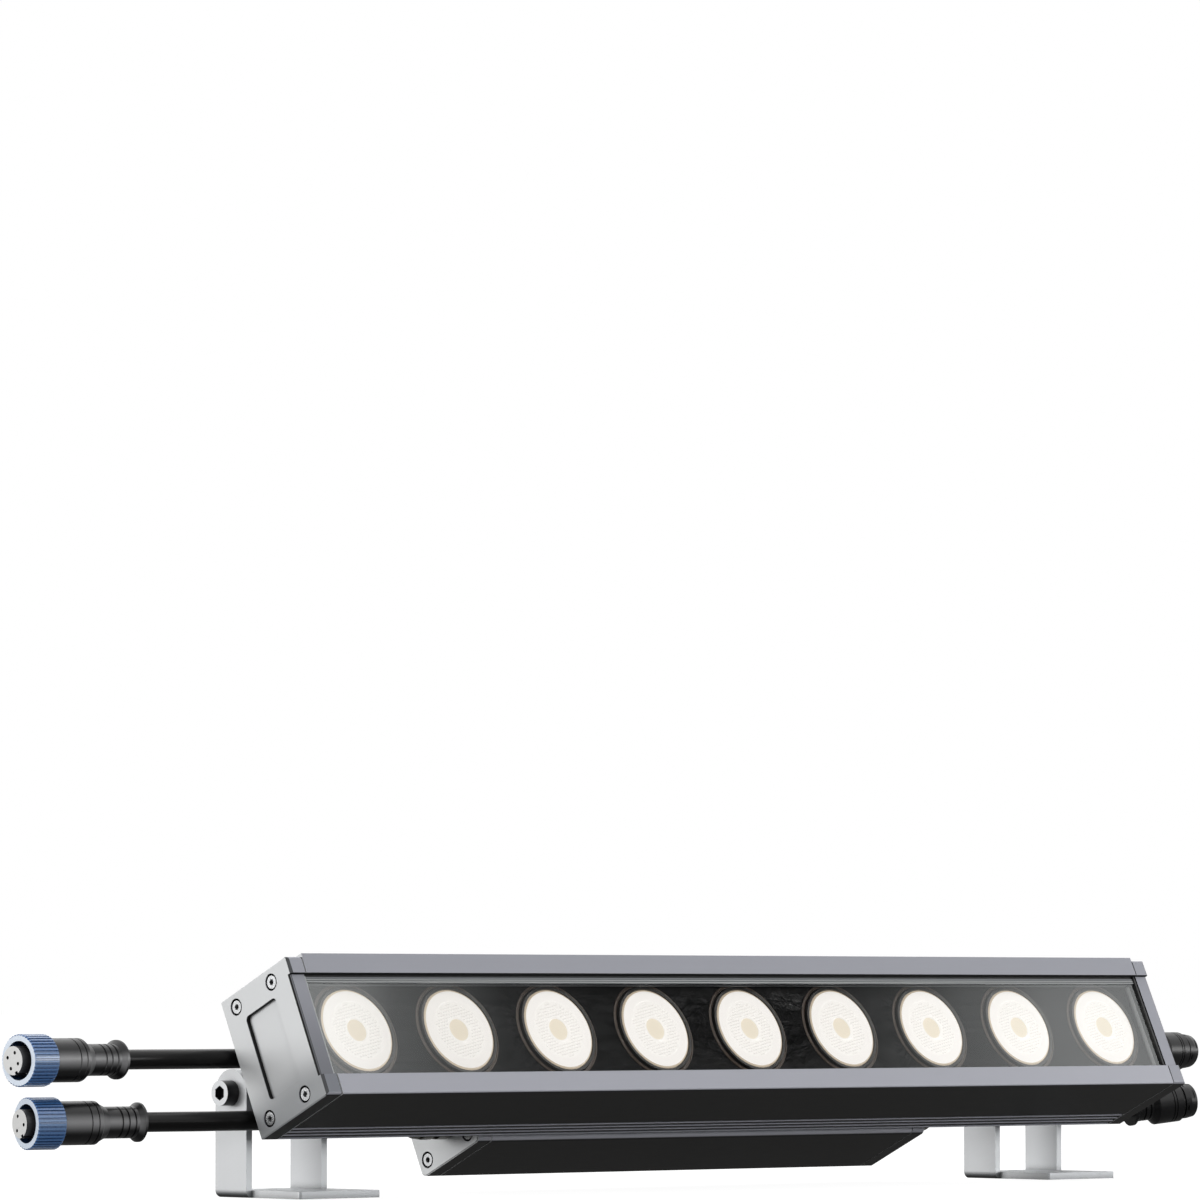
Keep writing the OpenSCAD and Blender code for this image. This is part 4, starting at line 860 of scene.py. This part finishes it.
def floor():
    """A wide pale floor that keeps the object's shadow and meets a backdrop of its own colour."""
    mesh = bmesh.new()
    for x, y in ((-1, -1), (1, -1), (1, 1), (-1, 1)):
        mesh.verts.new((x * FLOOR_HALF, y * FLOOR_HALF, 0))
    mesh.faces.new(mesh.verts)
    data = bpy.data.meshes.new("floor")
    mesh.to_mesh(data)
    mesh.free()
    material = bpy.data.materials.new("pale_floor")
    material.use_nodes = True
    tree = material.node_tree
    tree.nodes.clear()
    rays = add(tree, "ShaderNodeLightPath")
    seen = maths(tree, "ADD", rays.outputs["Is Camera Ray"],
                 maths(tree, "MULTIPLY", MIRRORED_GLOW, maths(
                     tree, "MAXIMUM", rays.outputs["Is Glossy Ray"],
                     rays.outputs["Is Transmission Ray"])))
    matt = add(tree, "ShaderNodeBsdfDiffuse", {
        "Color": blend(tree, rays.outputs["Is Glossy Ray"], FLOOR_TONE, FLOOR_TONE_MIRRORED),
    })
    glow = add(tree, "ShaderNodeEmission", {
        "Color": (1, 1, 1, 1), "Strength": maths(tree, "MULTIPLY", seen, FLOOR_GLOW),
    })
    both = add(tree, "ShaderNodeAddShader")
    tree.links.new(matt.outputs["BSDF"], both.inputs[0])
    tree.links.new(glow.outputs["Emission"], both.inputs[1])
    output = add(tree, "ShaderNodeOutputMaterial", {"Surface": both.outputs["Shader"]})
    data.materials.append(material)
    ground = bpy.data.objects.new("floor", data)
    bpy.context.scene.collection.objects.link(ground)


# The way the camera looks, and the way that upright fronts mirror it
VIEW_WAY = (0.686, 0.727, 0)
FRONT_WAY = (0.686, -0.727, 0)
WINDOWS = [
    (0.6567, 1.0), (0.6662, 0.37), (0.6768, 0.08), (0.6871, 0.02), (0.7064, 0.0),
    (0.7155, 0.13), (0.7243, 0.42), (0.7327, 0.78), (0.745, 0.85),
]
WINDOW_GLOW, BACKDROP_GLOW, FRONT_GLOW, DIM_GLOW, SOFT_GLOW = 2.0, 0.6, 3.0, 0.01, 0.32


def surroundings():
    """A white backdrop for the camera, and what surfaces mirror: a pale band behind, to the
    left and low in front, two high bright windows and dimness elsewhere."""
    world = bpy.data.worlds.new("studio")
    bpy.context.scene.world = world
    world.use_nodes = True
    tree = world.node_tree
    tree.nodes.clear()
    rays = add(tree, "ShaderNodeLightPath")
    way = add(tree, "ShaderNodeTexCoord").outputs["Generated"]
    across = part_of(tree, way, "X")
    height = part_of(tree, way, "Z")
    ahead = add(tree, "ShaderNodeVectorMath", {0: way, 1: VIEW_WAY}, operation="DOT_PRODUCT")
    behind = step(tree, ahead.outputs["Value"], 0.25, 0.75)
    leftward = step(tree, across, -0.35, -0.7)
    low = step(tree, maths(tree, "ABSOLUTE", height), 0.45, 0.2)
    overhead = maths(tree, "MULTIPLY", ramp(tree, across, WINDOWS), maths(
        tree, "MULTIPLY", WINDOW_GLOW, step(tree, height, 0.2, 0.42)))
    opposite = add(tree, "ShaderNodeVectorMath", {0: way, 1: FRONT_WAY}, operation="DOT_PRODUCT")
    front = maths(tree, "MULTIPLY", step(tree, opposite.outputs["Value"], 0.8, 0.95),
                  step(tree, maths(tree, "ABSOLUTE", height), 0.32, 0.08))
    sides = maths(tree, "ADD", maths(tree, "MULTIPLY", behind, BACKDROP_GLOW), leftward)
    sides = maths(tree, "ADD", sides, maths(tree, "MULTIPLY", front, FRONT_GLOW))
    mirrored = maths(tree, "ADD", maths(tree, "ADD", overhead, DIM_GLOW),
                     maths(tree, "MULTIPLY", sides, low))
    sharp = maths(tree, "MAXIMUM", rays.outputs["Is Glossy Ray"],
                  rays.outputs["Is Transmission Ray"])
    level = maths(tree, "ADD", rays.outputs["Is Camera Ray"],
                  maths(tree, "MULTIPLY", sharp, mirrored))
    soft = maths(tree, "MULTIPLY", rays.outputs["Is Diffuse Ray"], SOFT_GLOW)
    level = maths(tree, "ADD", level, soft)
    sky = add(tree, "ShaderNodeBackground", {"Color": (1, 1, 1, 1), "Strength": level})
    add(tree, "ShaderNodeOutputWorld", {"Surface": sky.outputs["Background"]})


# Each light's name, place and size in metres, and power in watts
LIGHTS = [
    ("front_strip", (-1.8, -1.9, 0.5), (1.9, 0.45), 15),
    ("left_box", (-3.2, 1.2, 0.45), (1.8, 1.0), 52),
    ("right_box", (1.8, -1.5, 0.40), (1.7, 0.6), 18),
    ("top_box", (0.1, 0.5, 1.9), (1.6, 1.0), 15),
]
LIGHT_AIM = Vector((0, 0, 0.06))


def softbox(name, place, size, power):
    """A soft area light, turned towards the object."""
    data = bpy.data.lights.new(name, "AREA")
    data.shape = "RECTANGLE"
    data.size, data.size_y = size
    data.energy = power
    lamp = bpy.data.objects.new(name, data)
    lamp.location = place
    lamp.rotation_euler = (LIGHT_AIM - Vector(place)).to_track_quat("-Z", "Y").to_euler()
    bpy.context.scene.collection.objects.link(lamp)


floor()
surroundings()
for light in LIGHTS:
    softbox(*light)
bpy.context.scene.view_settings.view_transform = "Standard"
